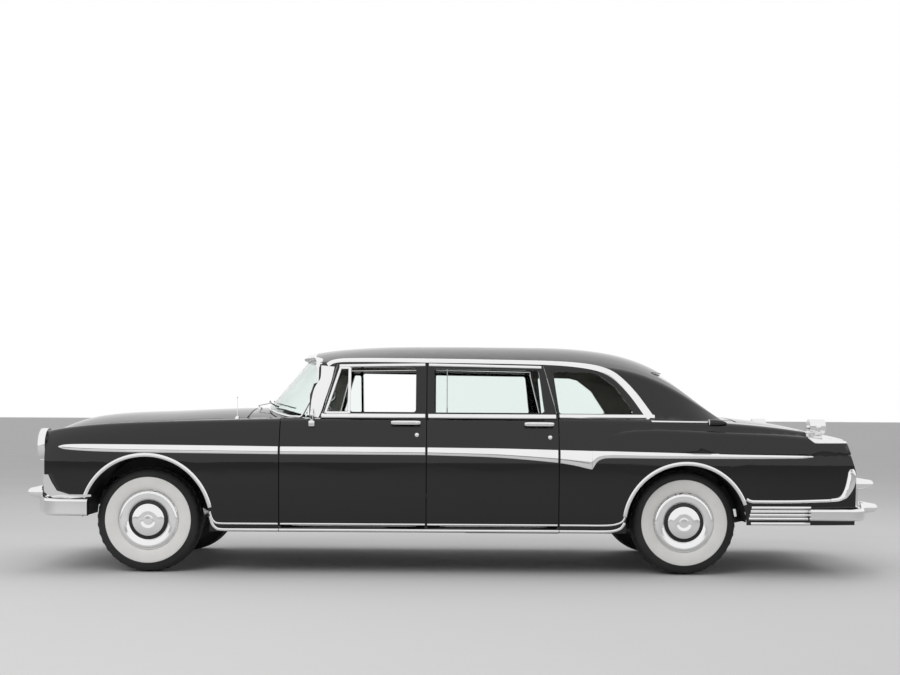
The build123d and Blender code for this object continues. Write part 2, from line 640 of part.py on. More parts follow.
def arm(inner_half, z0, z1):
    points = [(FRONT_AXLE_X - inner_half, -RAIL_OUTER_Y), (FRONT_AXLE_X + inner_half, -RAIL_OUTER_Y)]
    points += [(FRONT_AXLE_X + 26, 12 - KINGPIN_Y), (FRONT_AXLE_X - 26, 12 - KINGPIN_Y)]
    return plan_prism(points, z0, z1) - kingpin_room


lower_arm = arm(90, 332, 356)
upper_arm = arm(70, 470, 494)
knuckle = rod(FRONT_AXLE_X, -KINGPIN_Y, 415, 32, 200, "Z")
spindle_y = -(KINGPIN_Y + SPINDLE_END_Y) / 2
knuckle += rod(FRONT_AXLE_X, spindle_y, TYRE_RADIUS, SPINDLE_RADIUS, SPINDLE_END_Y - KINGPIN_Y, "Y")

# Exhaust pipes and fuel tank
PIPE_RADIUS = 28
pipe_z = 295 - PIPE_RADIUS - SLIP
silencer = extrude(across(100) * Pos(-240, pipe_z) * RectangleRounded(170, 54, 24), amount=700, dir=(1, 0, 0))
exhaust = rod(50, -240, pipe_z, PIPE_RADIUS, 2700, "X") + silencer
exhaust = exhaust - cross_members
fuel_tank = span(2180, 2660, -300, 300, 430, TRUNK_FLOOR_Z)

# Tyres and wheels, with the outward side to -Y
def turned(points, x, y):
    face = make_face(Polyline(*points, close=True))
    return Pos(x, y, TYRE_RADIUS) * revolve(face, axis=Axis.Y)


BEAD_HALF = RIM_WIDTH / 2 - 2
half_width = TYRE_WIDTH / 2
TYRE_RING = [(BEAD_RADIUS, BEAD_HALF - SLIP), (214, BEAD_HALF - SLIP), (216, 88), (240, 99)]
TYRE_RING += [(275, half_width), (310, half_width), (345, 98), (362, 86), (TYRE_RADIUS, 66)]
COVER = [(205, 92), (197, 101), (150, 97), (141, 88), (122, 91), (113, 99), (62, 108)]
COVER += [(36, 104), (34, 112), (0, 113)]
ring = [(r, w) for r, w in TYRE_RING] + [(r, -w) for r, w in reversed(TYRE_RING)]
rim_edge = BEAD_RADIUS + 12
rim_in = BEAD_RADIUS - SLIP
WHEEL = [(0, -DRUM_DEPTH), (DRUM_RADIUS, -DRUM_DEPTH), (DRUM_RADIUS, 0), (184, 0)]
WHEEL += [(184, -BEAD_HALF - 8), (rim_edge, -BEAD_HALF - 8), (rim_edge, -BEAD_HALF), (rim_in, -BEAD_HALF)]
WHEEL += [(rim_in, BEAD_HALF), (rim_edge, BEAD_HALF), (rim_edge, BEAD_HALF + 10)]
WHEEL += COVER


def tyre_at(x):
    return turned([(r, -w) for r, w in ring], x, -WHEEL_Y)


def wheel_at(x):
    shape = turned([(r, -w) for r, w in WHEEL], x, -WHEEL_Y)
    bore_y = (DRUM_DEPTH - 16) / 2 - WHEEL_Y
    return shape - rod(x, bore_y, TYRE_RADIUS, SPINDLE_RADIUS + RUNNING, DRUM_DEPTH + 16, "Y")


# Bumpers
Bumper = namedtuple("Bumper", "depth height z")
FRONT_BAR = Bumper(46, 118, 465)
REAR_BAR = Bumper(46, 82, 440)
FRONT_BAR_HALF = [(-2560, -980), (-2840, -962), (-2962, -690), (-2985, 0)]
REAR_BAR_HALF = [(2500, -982), (2862, -972), (2950, -690), (2970, 0)]
GUARD_Y = 650
GUARD_NOSE = 0.62


def bar(spec, half_plan):
    plan = half_plan + [(x, -y) for x, y in reversed(half_plan[:-1])]
    path = Pos(0, 0, spec.z) * FilletPolyline(*plan, radius=110)
    start = Plane(origin=path @ 0, z_dir=path % 0, x_dir=(0, 0, 1))
    return sweep(start * RectangleRounded(spec.height, spec.depth, 18), path=path)


def bullet(base_x, tip_x, z, radius):
    way = 1 if tip_x > base_x else -1
    nose = radius * GUARD_NOSE
    length = abs(tip_x - base_x) - nose
    shape = Pos(0, 0, length / 2) * Cone(radius, nose, length) + Pos(0, 0, length) * Sphere(nose)
    return Pos(base_x, -GUARD_Y, z) * Rot(0, 90 * way, 0) * shape


front_bumper = bar(FRONT_BAR, FRONT_BAR_HALF)
front_bumper += both(bullet(-2960, FRONT_TIP_X, 550, 54))
front_bumper += both(span(-2975, -2840, -RAIL_OUTER_Y + 10, -RAIL_INNER_Y - 10, 455, 515))
rear_bumper = bar(REAR_BAR, REAR_BAR_HALF)
rear_bumper += both(bullet(2950, REAR_TIP_X, 472, 48))
rear_bumper += both(span(2880, 2930, -GUARD_Y - 30, -GUARD_Y + 30, 430, 650))
rear_bumper += both(bullet(2900, 3050, 643, 50))
rear_bumper += both(span(2790, 2952, -RAIL_OUTER_Y + 10, -RAIL_INNER_Y - 10, 445, 600))
tail_panel = tail_panel - both(span(2790, 2952, -RAIL_OUTER_Y + 5, -RAIL_INNER_Y - 5, 440, 605))

# Grilles and lamps
def crate(y0, y1):
    x1 = NOSE_X
    x0 = NOSE_X - 26
    shape = span(x0, x1, y0, y1, GRILLE_LOW_Z, GRILLE_HIGH_Z)
    pitch_y = (y1 - y0 - GRILLE_BAR) / GRILLE_COLUMNS
    pitch_z = (GRILLE_HIGH_Z - GRILLE_LOW_Z - GRILLE_BAR) / GRILLE_ROWS
    for column_at in range(GRILLE_COLUMNS):
        for row_at in range(GRILLE_ROWS):
            cell_y = y0 + GRILLE_BAR + column_at * pitch_y
            cell_z = GRILLE_LOW_Z + GRILLE_BAR + row_at * pitch_z
            cell_y1 = cell_y + pitch_y - GRILLE_BAR
            cell_z1 = cell_z + pitch_z - GRILLE_BAR
            shape -= span(x0 - 1, x1 + 1, cell_y, cell_y1, cell_z, cell_z1)
    return shape


grille = crate(-GRILLE_OUTER_Y, -GRILLE_INNER_Y)
hole_y0 = GRILLE_BAR - GRILLE_OUTER_Y
hole_y1 = -GRILLE_INNER_Y - GRILLE_BAR
hole_z0 = GRILLE_LOW_Z + GRILLE_BAR
hole_z1 = GRILLE_HIGH_Z - GRILLE_BAR
grille_hole = span(NOSE_X - 50, NOSE_X + 50, hole_y0, hole_y1, hole_z0, hole_z1)
nose_panel = nose_panel - both(grille_hole)
bezel = rod(NOSE_X - 25, -LAMP_Y, LAMP_Z, LAMP_RADIUS, 50, "X")
bezel = bezel - rod(NOSE_X - 25, -LAMP_Y, LAMP_Z, LENS_RADIUS + SLIP, 52, "X")
lens = rod(NOSE_X - 12, -LAMP_Y, LAMP_Z, LENS_RADIUS, 24, "X")
HOOK = [(-2940, 690), (-2860, 690), (-2835, 640), (-2795, 578), (-2700, 552), (-2540, 554)]
HOOK += [(-2540, 540), (-2700, 524), (-2830, 526), (-2890, 560), (-2940, 620)]
turn_lamp = (body_solid(-26) - body_outer) & side_prism(HOOK, -REACH, -790)
GUNSIGHT = (2575, -850, 1060)
sight_x, sight_y, sight_z = GUNSIGHT
tail_lamp = rod(*GUNSIGHT, 52, 110, "X") - rod(sight_x + 30, sight_y, sight_z, 40, 60, "X")
tail_lamp += rod(sight_x + 20, sight_y, sight_z, 22, 80, "X")
tail_lamp += span(sight_x - 35, sight_x + 35, sight_y - 12, sight_y + 12, 900, sight_z - 45)
tail_lamp = tail_lamp - body_outer - haunch_outer

os.makedirs("parts", exist_ok=True)
PARTS = dict(
    roof=roof,
    cowl=cowl,
    front_fenders=front_fenders,
    nose_panel=nose_panel,
    quarter_panels=quarter_panels,
    tail_panel=tail_panel,
    hood=hood,
    deck_lid=deck_lid,
    windscreen=windscreen,
    body_glass=group(backlight, pair(quarter_glass), division_glass),
    sills=pair(sill),
    door_posts=group(pair(hinge_post), pair(middle_post), pair(latch_post)),
    floor=floor,
    division=division,
    front_seat=front_seat,
    rear_seat=rear_seat,
    dashboard=dashboard,
    steering_wheel=steering_wheel,
    frame_rails=pair(rail),
    cross_members=cross_members,
    engine_block=engine_block,
    propeller_shaft=propeller_shaft,
    rear_axle=rear_axle,
    suspension=group(pair(spring), pair(lower_arm), pair(upper_arm)),
    exhaust=pair(exhaust),
    fuel_tank=fuel_tank,
    front_bumper=front_bumper,
    rear_bumper=rear_bumper,
    grille=pair(grille),
    headlamp_bezels=pair(bezel),
    headlamp_lenses=pair(lens),
    turn_lamps=pair(turn_lamp),
    tail_lamps=pair(tail_lamp),
)
SIDED = dict(
    front_door=front_door,
    rear_door=rear_door,
    front_door_glass=front_door_glass,
    rear_door_glass=rear_door_glass,
    knuckle=knuckle,
    front_tyre=tyre_at(FRONT_AXLE_X),
    rear_tyre=tyre_at(REAR_AXLE_X),
    front_wheel=wheel_at(FRONT_AXLE_X),
    rear_wheel=wheel_at(REAR_AXLE_X),
)
for name, shape in SIDED.items():
    PARTS[name + "_left"] = shape
    PARTS[name + "_right"] = mirror(shape, about=Plane.XZ)
for name, shape in PARTS.items():
    export_step(shape, f"parts/{name}.step")
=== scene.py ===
import json
import math
import bpy
from mathutils import Vector, Matrix


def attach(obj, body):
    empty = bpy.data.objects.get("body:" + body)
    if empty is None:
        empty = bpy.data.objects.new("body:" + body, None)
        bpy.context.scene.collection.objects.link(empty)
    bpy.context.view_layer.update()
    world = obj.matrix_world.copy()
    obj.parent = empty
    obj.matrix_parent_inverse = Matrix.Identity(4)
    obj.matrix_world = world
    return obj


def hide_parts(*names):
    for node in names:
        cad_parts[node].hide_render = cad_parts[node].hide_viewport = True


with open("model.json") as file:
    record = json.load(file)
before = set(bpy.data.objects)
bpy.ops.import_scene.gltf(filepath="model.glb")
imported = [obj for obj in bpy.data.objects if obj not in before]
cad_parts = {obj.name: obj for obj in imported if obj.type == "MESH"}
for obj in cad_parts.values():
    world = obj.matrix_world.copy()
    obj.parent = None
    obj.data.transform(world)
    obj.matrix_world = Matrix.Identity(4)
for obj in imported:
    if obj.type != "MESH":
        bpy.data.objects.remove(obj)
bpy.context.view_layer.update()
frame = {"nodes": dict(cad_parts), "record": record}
nodes = frame["nodes"]
scene = bpy.context.scene


# Materials

def new_group(name, inputs, outputs):
    group = bpy.data.node_groups.new(name, "ShaderNodeTree")
    for label, kind, value in inputs:
        socket = group.interface.new_socket(name=label, in_out="INPUT", socket_type=kind)
        socket.default_value = value
    for label, kind in outputs:
        group.interface.new_socket(name=label, in_out="OUTPUT", socket_type=kind)
    ins = group.nodes.new("NodeGroupInput")
    outs = group.nodes.new("NodeGroupOutput")
    return group, ins, outs


def make_dust_group():
    # Soft blotches that vary a finish's colour and roughness
    group, ins, outs = new_group(
        "dust_film",
        [("Light", "NodeSocketColor", (1, 1, 1, 1)), ("Dark", "NodeSocketColor", (0, 0, 0, 1)),
         ("Scale", "NodeSocketFloat", 3.0), ("Low", "NodeSocketFloat", 0.1),
         ("High", "NodeSocketFloat", 0.3)],
        [("Color", "NodeSocketColor"), ("Roughness", "NodeSocketFloat")],
    )
    coords = group.nodes.new("ShaderNodeTexCoord")
    cloud = group.nodes.new("ShaderNodeTexNoise")
    cloud.inputs["Detail"].default_value = 4
    spread = group.nodes.new("ShaderNodeMapRange")
    spread.inputs["From Min"].default_value = 0.3
    spread.inputs["From Max"].default_value = 0.75
    tint = group.nodes.new("ShaderNodeMix")
    tint.data_type = "RGBA"
    group.links.new(coords.outputs["Object"], cloud.inputs["Vector"])
    group.links.new(ins.outputs["Scale"], cloud.inputs["Scale"])
    group.links.new(cloud.outputs["Fac"], spread.inputs["Value"])
    group.links.new(ins.outputs["Low"], spread.inputs["To Min"])
    group.links.new(ins.outputs["High"], spread.inputs["To Max"])
    group.links.new(cloud.outputs["Fac"], tint.inputs["Factor"])
    group.links.new(ins.outputs["Light"], tint.inputs["A"])
    group.links.new(ins.outputs["Dark"], tint.inputs["B"])
    group.links.new(tint.outputs["Result"], outs.inputs["Color"])
    group.links.new(spread.outputs["Result"], outs.inputs["Roughness"])
    return group


def make_relief_group(kind):
    # Fine surface of a material: paint peel, leather grain, woven cloth or lamp flutes
    group, ins, outs = new_group(
        kind + "_relief", [("Scale", "NodeSocketFloat", 100.0)], [("Height", "NodeSocketFloat")],
    )
    coords = group.nodes.new("ShaderNodeTexCoord")
    if kind == "grain":
        cells = group.nodes.new("ShaderNodeTexVoronoi")
        cells.feature = "DISTANCE_TO_EDGE"
        layers = [(cells, "Distance")]
    elif kind == "weave":
        layers = []
        for direction in ("Y", "DIAGONAL"):
            threads = group.nodes.new("ShaderNodeTexWave")
            threads.bands_direction = direction
            layers.append((threads, "Fac"))
    elif kind == "flute":
        flutes = group.nodes.new("ShaderNodeTexWave")
        flutes.bands_direction = "Y"
        layers = [(flutes, "Fac")]
    else:
        peel = group.nodes.new("ShaderNodeTexNoise")
        layers = [(peel, "Fac")]
    heights = []
    for texture, socket in layers:
        group.links.new(coords.outputs["Object"], texture.inputs["Vector"])
        group.links.new(ins.outputs["Scale"], texture.inputs["Scale"])
        heights.append(texture.outputs[socket])
    height = heights[0]
    if len(heights) == 2:
        crossed = group.nodes.new("ShaderNodeMath")
        crossed.operation = "MAXIMUM"
        group.links.new(heights[0], crossed.inputs[0])
        group.links.new(heights[1], crossed.inputs[1])
        height = crossed.outputs["Value"]
    group.links.new(height, outs.inputs["Height"])
    return group


dust_film = make_dust_group()
RELIEFS = {kind: make_relief_group(kind) for kind in ("peel", "grain", "weave", "flute")}


RELIEF_HEIGHT = 0.0008


def finish(
    name, color, metallic=0.0, low=0.1, high=0.3, scale=3.0, fade=0.7, relief="peel", fine=900, bump=0.0,
):
    # Material whose colour fades to a share of itself in blotches, over a fine relief
    material = bpy.data.materials.new(name)
    material.use_nodes = True
    tree = material.node_tree
    shader = tree.nodes["Principled BSDF"]
    shader.inputs["Metallic"].default_value = metallic
    film = tree.nodes.new("ShaderNodeGroup")
    film.node_tree = dust_film
    film.inputs["Light"].default_value = (*color, 1)
    film.inputs["Dark"].default_value = (*[fade * part for part in color], 1)
    film.inputs["Scale"].default_value = scale
    film.inputs["Low"].default_value = low
    film.inputs["High"].default_value = high
    tree.links.new(film.outputs["Color"], shader.inputs["Base Color"])
    tree.links.new(film.outputs["Roughness"], shader.inputs["Roughness"])
    if bump:
        surface = tree.nodes.new("ShaderNodeGroup")
        surface.node_tree = RELIEFS[relief]
        surface.inputs["Scale"].default_value = fine
        bumps = tree.nodes.new("ShaderNodeBump")
        bumps.inputs["Strength"].default_value = bump
        bumps.inputs["Distance"].default_value = RELIEF_HEIGHT
        tree.links.new(surface.outputs["Height"], bumps.inputs["Height"])
        tree.links.new(bumps.outputs["Normal"], shader.inputs["Normal"])
    return material


def clear_glass():
    material = finish("clear_glass", (0.9, 0.95, 0.93), low=0.01, high=0.05, fade=0.97)
    shader = material.node_tree.nodes["Principled BSDF"]
    shader.inputs["Transmission Weight"].default_value = 1
    shader.inputs["IOR"].default_value = 1.1
    return material


paint = finish("body_paint", (0.0045, 0.0045, 0.005), low=0.03, high=0.08)
bright = finish("bright_metal", (0.9, 0.9, 0.9), metallic=1.0, low=0.03, high=0.12, fade=0.9)
glass = clear_glass()
lamp_glass = finish(
    "lamp_glass", (0.86, 0.88, 0.9), metallic=0.75, low=0.05, high=0.12, fade=0.9,
    relief="flute", fine=28, bump=0.9,
)
white_rubber = finish("white_rubber", (0.85, 0.84, 0.82), low=0.45, high=0.65, scale=9, fade=0.85, bump=0.2)
# Painted shade: a near-black stand-in for shade and dark reflection, used on the wheel covers' rings and in
# the spears' grooves
painted_shade = finish("dark_painted_shade", (0.01, 0.01, 0.01), low=0.15, high=0.3)
ruby = finish("ruby_lens", (0.4, 0.008, 0.006), low=0.05, high=0.12, relief="flute", fine=60, bump=0.4)
seal = finish("black_seal", (0.012, 0.012, 0.012), low=0.5, high=0.7, bump=0.3)
rubber = finish("tyre_rubber", (0.016, 0.016, 0.016), low=0.55, high=0.8, bump=0.4)
black_steel = finish("chassis_black", (0.012, 0.012, 0.012), low=0.45, high=0.7, bump=0.3)
panel_cloth = finish(
    "trim_panel", (0.24, 0.22, 0.19), low=0.7, high=0.9, scale=40, relief="weave", fine=90, bump=0.5,
)
carpet = finish("carpet", (0.075, 0.07, 0.062), low=0.85, high=1.0, scale=30, fade=0.5, fine=420, bump=1.0)
headlining = finish(
    "headlining", (0.34, 0.32, 0.28), low=0.8, high=0.95, scale=20, relief="weave", fine=120, bump=0.4,
)
hide = finish(
    "seat_leather", (0.035, 0.034, 0.033), low=0.32, high=0.5, scale=30, relief="grain", fine=260, bump=0.6,
)
cloth = finish(
    "seat_cloth", (0.32, 0.3, 0.26), low=0.75, high=0.95, scale=60, relief="weave", fine=110, bump=0.7,
)
dash_paint = finish("dash_paint", (0.02, 0.02, 0.022), low=0.3, high=0.45, bump=0.1)
dial = finish("dial_face", (0.55, 0.54, 0.5), low=0.4, high=0.55, fade=0.85, scale=50)
grip = finish("wheel_plastic", (0.02, 0.02, 0.02), low=0.15, high=0.3)
iron = finish("engine_iron", (0.16, 0.165, 0.17), low=0.45, high=0.65, scale=12, fine=300, bump=0.6)
pipe_steel = finish("exhaust_steel", (0.25, 0.24, 0.22), metallic=0.8, low=0.4, high=0.6, scale=9)
BY_SLOT = {
    "body_paint": paint, "bright_metal": bright, "clear_glass": glass, "tyre_rubber": rubber,
    "chassis_black": black_steel, "trim_panel": panel_cloth, "leather": hide, "cloth": cloth,
    "dash_paint": dash_paint, "wheel_plastic": grip, "engine_iron": iron, "exhaust_steel": pipe_steel,
}
SLOT_OF = {material.name: slot for slot, material in BY_SLOT.items()}
SLOT_OF.update({
    lamp_glass.name: "clear_glass", painted_shade.name: "bright_metal", ruby.name: "bright_metal",
    seal.name: "tyre_rubber", dial.name: "dash_paint",
})
for entry in frame["record"]["subparts"]:
    mesh = nodes[entry["node"]].data
    mesh.materials.clear()
    mesh.materials.append(BY_SLOT[entry["material_slot"]])


# Hand tools

NODE_BODY = {node: body for body, held in frame["record"]["behaviour"]["bodies"].items() for node in held}
PAINTED = (
    "roof", "cowl", "front_fenders", "nose_panel", "quarter_panels", "tail_panel", "hood", "deck_lid",
    "sills",
)
DOORS = ("front_door_left", "front_door_right", "rear_door_left", "rear_door_right")
PLATED = (
    "front_bumper", "rear_bumper", "grille", "headlamp_bezels", "turn_lamps", "tail_lamps",
    "front_wheel_left", "front_wheel_right", "rear_wheel_left", "rear_wheel_right",
)
SIDES = ((-1, "left"), (1, "right"))
MERGE_GAP = 0.00001


def pick(piece):
    bpy.ops.object.select_all(action="DESELECT")
    piece.select_set(True)
    bpy.context.view_layer.objects.active = piece


def apply_modifiers(piece):
    pick(piece)
    for modifier in list(piece.modifiers):
        bpy.ops.object.modifier_apply(modifier=modifier.name)


def open_mesh(piece):
    # Edit mode, with the whole mesh selected
    pick(piece)
    bpy.ops.object.mode_set(mode="EDIT")
    bpy.ops.mesh.select_all(action="SELECT")


def shut_mesh():
    bpy.ops.object.mode_set(mode="OBJECT")


def close_up(piece, gap=MERGE_GAP):
    # Merges doubles and points every face outwards
    open_mesh(piece)
    bpy.ops.mesh.remove_doubles(threshold=gap)
    bpy.ops.mesh.normals_make_consistent(inside=False)
    shut_mesh()


def ring_of(places, fill="NOTHING"):
    # Circle whose points are moved to the given places, in millimetres
    bpy.ops.object.select_all(action="DESELECT")
    bpy.ops.mesh.primitive_circle_add(vertices=len(places), radius=0.1, fill_type=fill)
    piece = bpy.context.object
    for vertex, place in zip(piece.data.vertices, places):
        vertex.co = [part / 1000 for part in place]
    return piece


def spin_round(piece, steps, centre, axis):
    open_mesh(piece)
    bpy.ops.mesh.spin(steps=steps, angle=2 * math.pi, center=centre, axis=axis)
    shut_mesh()


def round_off(piece, degrees=30):
    pick(piece)
    bpy.ops.object.shade_smooth_by_angle(angle=math.radians(degrees))


def fit(piece, name, body, material):
    piece.name = name
    piece.data.name = name
    piece.data.materials.clear()
    piece.data.materials.append(material)
    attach(piece, body)
    return piece


def plate(piece, name, body="body"):
    return fit(piece, name, body, bright)


def node_copy(node, name):
    # Merged copy of a solid's mesh, which can be shaded smooth
    copy = bpy.data.objects.new(name, nodes[node].data.copy())
    scene.collection.objects.link(copy)
    open_mesh(copy)
    bpy.ops.mesh.remove_doubles(threshold=MERGE_GAP)
    shut_mesh()
    return copy


def polish(node, degrees=24):
    copy = node_copy(node, node + "_skin")
    round_off(copy, degrees)
    even = copy.modifiers.new("even", "WEIGHTED_NORMAL")
    even.mode = "FACE_AREA"
    even.weight = 50
    even.keep_sharp = True
    apply_modifiers(copy)
    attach(copy, NODE_BODY[node])
    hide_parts(node)
    return copy


# Panels, plated pieces and trim, smoothed

INSIDE = ("floor", "dashboard", "steering_wheel", "division", "door_posts", "engine_block")
SKINS = {node: polish(node) for node in PAINTED + PLATED + DOORS + INSIDE}


LINING_FROM_Z = 1.12
TRUNK_FROM_X = 1.4
TOE_BOARD_Z = 0.46
DOOR_LINING_TOP_Z = 1.1
DOOR_SKIN_Y = 0.93


def dress_cabin():
    # Headlining under the roof, carpet on the cabin's floor and a rubber mat in the trunk
    lining = SKINS["roof"].data
    lining.materials.append(headlining)
    for face in lining.polygons:
        inward = face.normal.y * face.center.y < 0 and abs(face.normal.y) > 0.5
        if face.center.z > LINING_FROM_Z and face.center.x < 1.5 and (face.normal.z < -0.3 or inward):
            face.material_index = 1
    ground = SKINS["floor"].data
    ground.materials.append(carpet)
    ground.materials.append(seal)
    for face in ground.polygons:
        in_cabin = face.center.x < TRUNK_FROM_X
        toe_board = abs(face.normal.x) > 0.8 and face.center.z > TOE_BOARD_Z and in_cabin
        if face.normal.z > 0.4 or toe_board:
            face.material_index = 1 if in_cabin else 2


def dress_door(node):
    # Inside lined with cloth up to the belt
    skin = SKINS[node].data
    inward = 1 if node.endswith("left") else -1
    skin.materials.append(panel_cloth)
    for face in skin.polygons:
        within = abs(face.center.y) < DOOR_SKIN_Y and face.center.z < DOOR_LINING_TOP_Z
        if face.normal.y * inward > 0.8 and within:
            face.material_index = 1


dress_cabin()
for node in DOORS:
    dress_door(node)


# Mouldings: strips that hug a panel

def curve_through(points, parts=6):
    # Smooth run through the given points, each with its half width
    run = []
    for index in range(len(points) - 1):
        before = Vector(points[max(index - 1, 0)])
        start = Vector(points[index])
        end = Vector(points[index + 1])
        after = Vector(points[min(index + 2, len(points) - 1)])
        for step in range(parts):
            t = step / parts
            slope_in = (end - before) / 2
            slope_out = (after - start) / 2
            run.append(
                start * (2 * t**3 - 3 * t**2 + 1) + slope_in * (t**3 - 2 * t**2 + t)
                + end * (3 * t**2 - 2 * t**3) + slope_out * (t**3 - t**2)
            )
    return run + [Vector(points[-1])]


def edge_run(points, parts=6):
    # Middle line and half heights of a band that is given by its upper and lower edge
    return [Vector((p[0], (p[1] + p[2]) / 2, (p[1] - p[2]) / 2)) for p in curve_through(points, parts)]


CAST_FROM_Y = 1.4
OFF_PANEL_Y = 1.3
ROWS = 5


def lay_strip(panel, run, side, upright):
    # Flat strip of a few rows over the run, cast along Y on to the panel
    bpy.ops.object.select_all(action="DESELECT")
    bpy.ops.mesh.primitive_grid_add(x_subdivisions=len(run) - 1, y_subdivisions=ROWS - 1, size=2)
    strip = bpy.context.object
    start = strip.data.vertices
    order = sorted(range(len(start)), key=lambda i: (round(start[i].co.x, 5), start[i].co.y))
    for place, index in enumerate(order):
        column, row = divmod(place, ROWS)
        before = run[max(column - 1, 0)]
        after = run[min(column + 1, len(run) - 1)]
        lean = Vector((after.x - before.x, after.y - before.y)).normalized()
        across = Vector((0, 1)) if upright else Vector((-lean.y, lean.x))
        share = row / 2 - 1
        x = run[column].x + across.x * run[column].z * share
        z = run[column].y + across.y * run[column].z * share
        start[index].co = (x / 1000, side * CAST_FROM_Y, z / 1000)
    cast = strip.modifiers.new("cast", "SHRINKWRAP")
    cast.target = SKINS[panel]
    cast.wrap_method = "PROJECT"
    cast.use_project_y = True
    cast.use_positive_direction = side < 0
    cast.use_negative_direction = side > 0
    apply_modifiers(strip)
    fill_misses(strip.data.vertices, order)
    return strip, order


def fill_misses(points, order):
    # A point that missed the panel takes its depth from the row's last hit, or from its own column
    found = {}
    for turn in (order, order[::-1]):
        for index in turn:
            row = order.index(index) % ROWS
            if abs(points[index].co.y) < OFF_PANEL_Y:
                found[row] = points[index].co.y
            elif row in found:
                points[index].co.y = found[row]
    for column in range(0, len(order), ROWS):
        rows = [points[index] for index in order[column:column + ROWS]]
        hits = [point.co.y for point in rows if abs(point.co.y) < OFF_PANEL_Y]
        for point in rows:
            if abs(point.co.y) >= OFF_PANEL_Y:
                point.co.y = hits[0]


def moulding(name, panel, run, side, proud=4, crown=3, groove=0, upright=False, material=None):
    # Crowned strip, bright unless told otherwise; half of its thickness is let into the panel
    strip, order = lay_strip(panel, run, side, upright)
    rise = (0, 0.8 * crown, crown - groove, 0.8 * crown, 0)
    for place, index in enumerate(order):
        strip.data.vertices[index].co.y += side * rise[place % ROWS] / 1000
    wall = strip.modifiers.new("wall", "SOLIDIFY")
    wall.thickness = 2 * proud / 1000
    wall.offset = 0
    soft = strip.modifiers.new("soft", "BEVEL")
    soft.width = 0.3 * proud / 1000
    soft.segments = 2
    soft.limit_method = "ANGLE"
    apply_modifiers(strip)
    close_up(strip)
    round_off(strip, 40)
    return fit(strip, name, NODE_BODY[panel], material or bright)


def on_both_sides(name, panels, points, **options):
    # Same moulding on the left and on the right panel
    for (side, label), panel in zip(SIDES, (panels[0], panels[-1])):
        moulding(name + "_" + label, panel, points, side, **options)


FRONT_PAIR = ("front_door_left", "front_door_right")
REAR_PAIR = ("rear_door_left", "rear_door_right")
FENDERS = ("front_fenders",)
QUARTERS = ("quarter_panels",)
ROOF = ("roof",)
SILLS = ("sills",)


def side_spear():
    fender = edge_run([
        (-2790, 889, 884), (-2700, 902, 868), (-2400, 905, 856), (-1700, 901, 850), (-1231, 897, 847),
    ])
    front = edge_run([(-1215, 897, 847), (-700, 897, 847), (-198, 896, 846)])
    rear = edge_run([(-182, 896, 846), (250, 893, 834), (500, 889, 818), (733, 884, 797)])
    quarter = edge_run([(749, 884, 795), (850, 882, 778), (940, 880, 757), (971, 879, 751)], 4)
    thin = edge_run([
        (971, 879, 751), (985, 879, 775), (1005, 878, 805), (1040, 877, 825), (1110, 876, 833),
        (1400, 872, 832), (2000, 862, 833), (2400, 856, 836), (2490, 853, 840), (2525, 849, 847),
    ])
    for name, panels, run, groove in (
        ("fender_spear", FENDERS, fender, 3), ("front_door_spear", FRONT_PAIR, front, 3),
        ("rear_door_spear", REAR_PAIR, rear, 3), ("quarter_spear_tip", QUARTERS, quarter, 3),
        ("quarter_spear", QUARTERS, thin, 0),
    ):
        on_both_sides(name, panels, run, proud=5, crown=6, groove=groove, upright=True)
    # Painted shade: a dark strip low in each grooved spear stands in for the shade in its groove
    for name, panels, run in (
        ("fender", FENDERS, fender[3:]), ("front_door", FRONT_PAIR, front), ("rear_door", REAR_PAIR, rear),
        ("quarter", QUARTERS, quarter[:-3]),
    ):
        dark = [Vector((p.x, p.y - 0.4 * p.z, 2)) for p in run]
        on_both_sides(name + "_spear_groove_shade", panels, dark, proud=9.4, crown=0, upright=True, material=painted_shade)


LIP_HALF = 11


def arch_run(x, z, radius, start, end):
    # Part of a circle round a wheel, from angle to angle
    steps = 40
    run = []
    for step in range(steps + 1):
        angle = math.radians(start + (end - start) * step / steps)
        run.append(Vector((x + radius * math.cos(angle), z + radius * math.sin(angle), LIP_HALF)))
    return run


def arch_lips():
    on_both_sides("front_arch_lip", FENDERS, arch_run(-2160, 372, 464, 12, 160), proud=5, crown=5)
    on_both_sides("rear_arch_lip", QUARTERS, arch_run(1637, 358, 437, 20, 172), proud=5, crown=5)


SILL_UPPER_Z = 356
SILL_LOWER_Z = 313


def sill_lines():
    # Two lines along the sill, drawn up at each end to meet the arch lips
    top, foot = SILL_UPPER_Z, SILL_LOWER_Z
    upper = (
        ("fender_line", FENDERS, [
            (-1706, 440, 5), (-1696, 398, 5), (-1674, 367, 5), (-1636, top + 1, 5), (-1500, top, 5),
            (-1231, top, 5),
        ], 6),
        ("front_door_line", FRONT_PAIR, [(-1214, top, 5), (-198, top, 5)], 16),
        ("rear_door_line", REAR_PAIR, [(-182, top, 5), (733, top, 5)], 16),
        ("quarter_line", QUARTERS, [
            (749, top, 5), (900, top, 5), (1050, top, 5), (1130, 362, 5), (1184, 382, 5), (1206, 415, 5),
        ], 6),
    )
    lower = (
        ("fender_foot_line", FENDERS, [
            (-1703, 408, 7), (-1692, 358, 7), (-1666, 325, 7), (-1626, foot + 1, 7), (-1500, foot, 7),
            (-1227, foot, 7),
        ], 6),
        ("sill_line", SILLS, [(-1224, foot, 7), (742, foot, 7)], 32),
        ("quarter_foot_line", QUARTERS, [
            (746, foot, 7), (900, foot, 7), (1050, foot, 7), (1126, 318, 7), (1178, 338, 7), (1204, 376, 7),
        ], 6),
    )
    for lines, proud in ((upper, 3), (lower, 5)):
        for name, panels, points, parts in lines:
            on_both_sides(name, panels, curve_through(points, parts), proud=proud, crown=3)


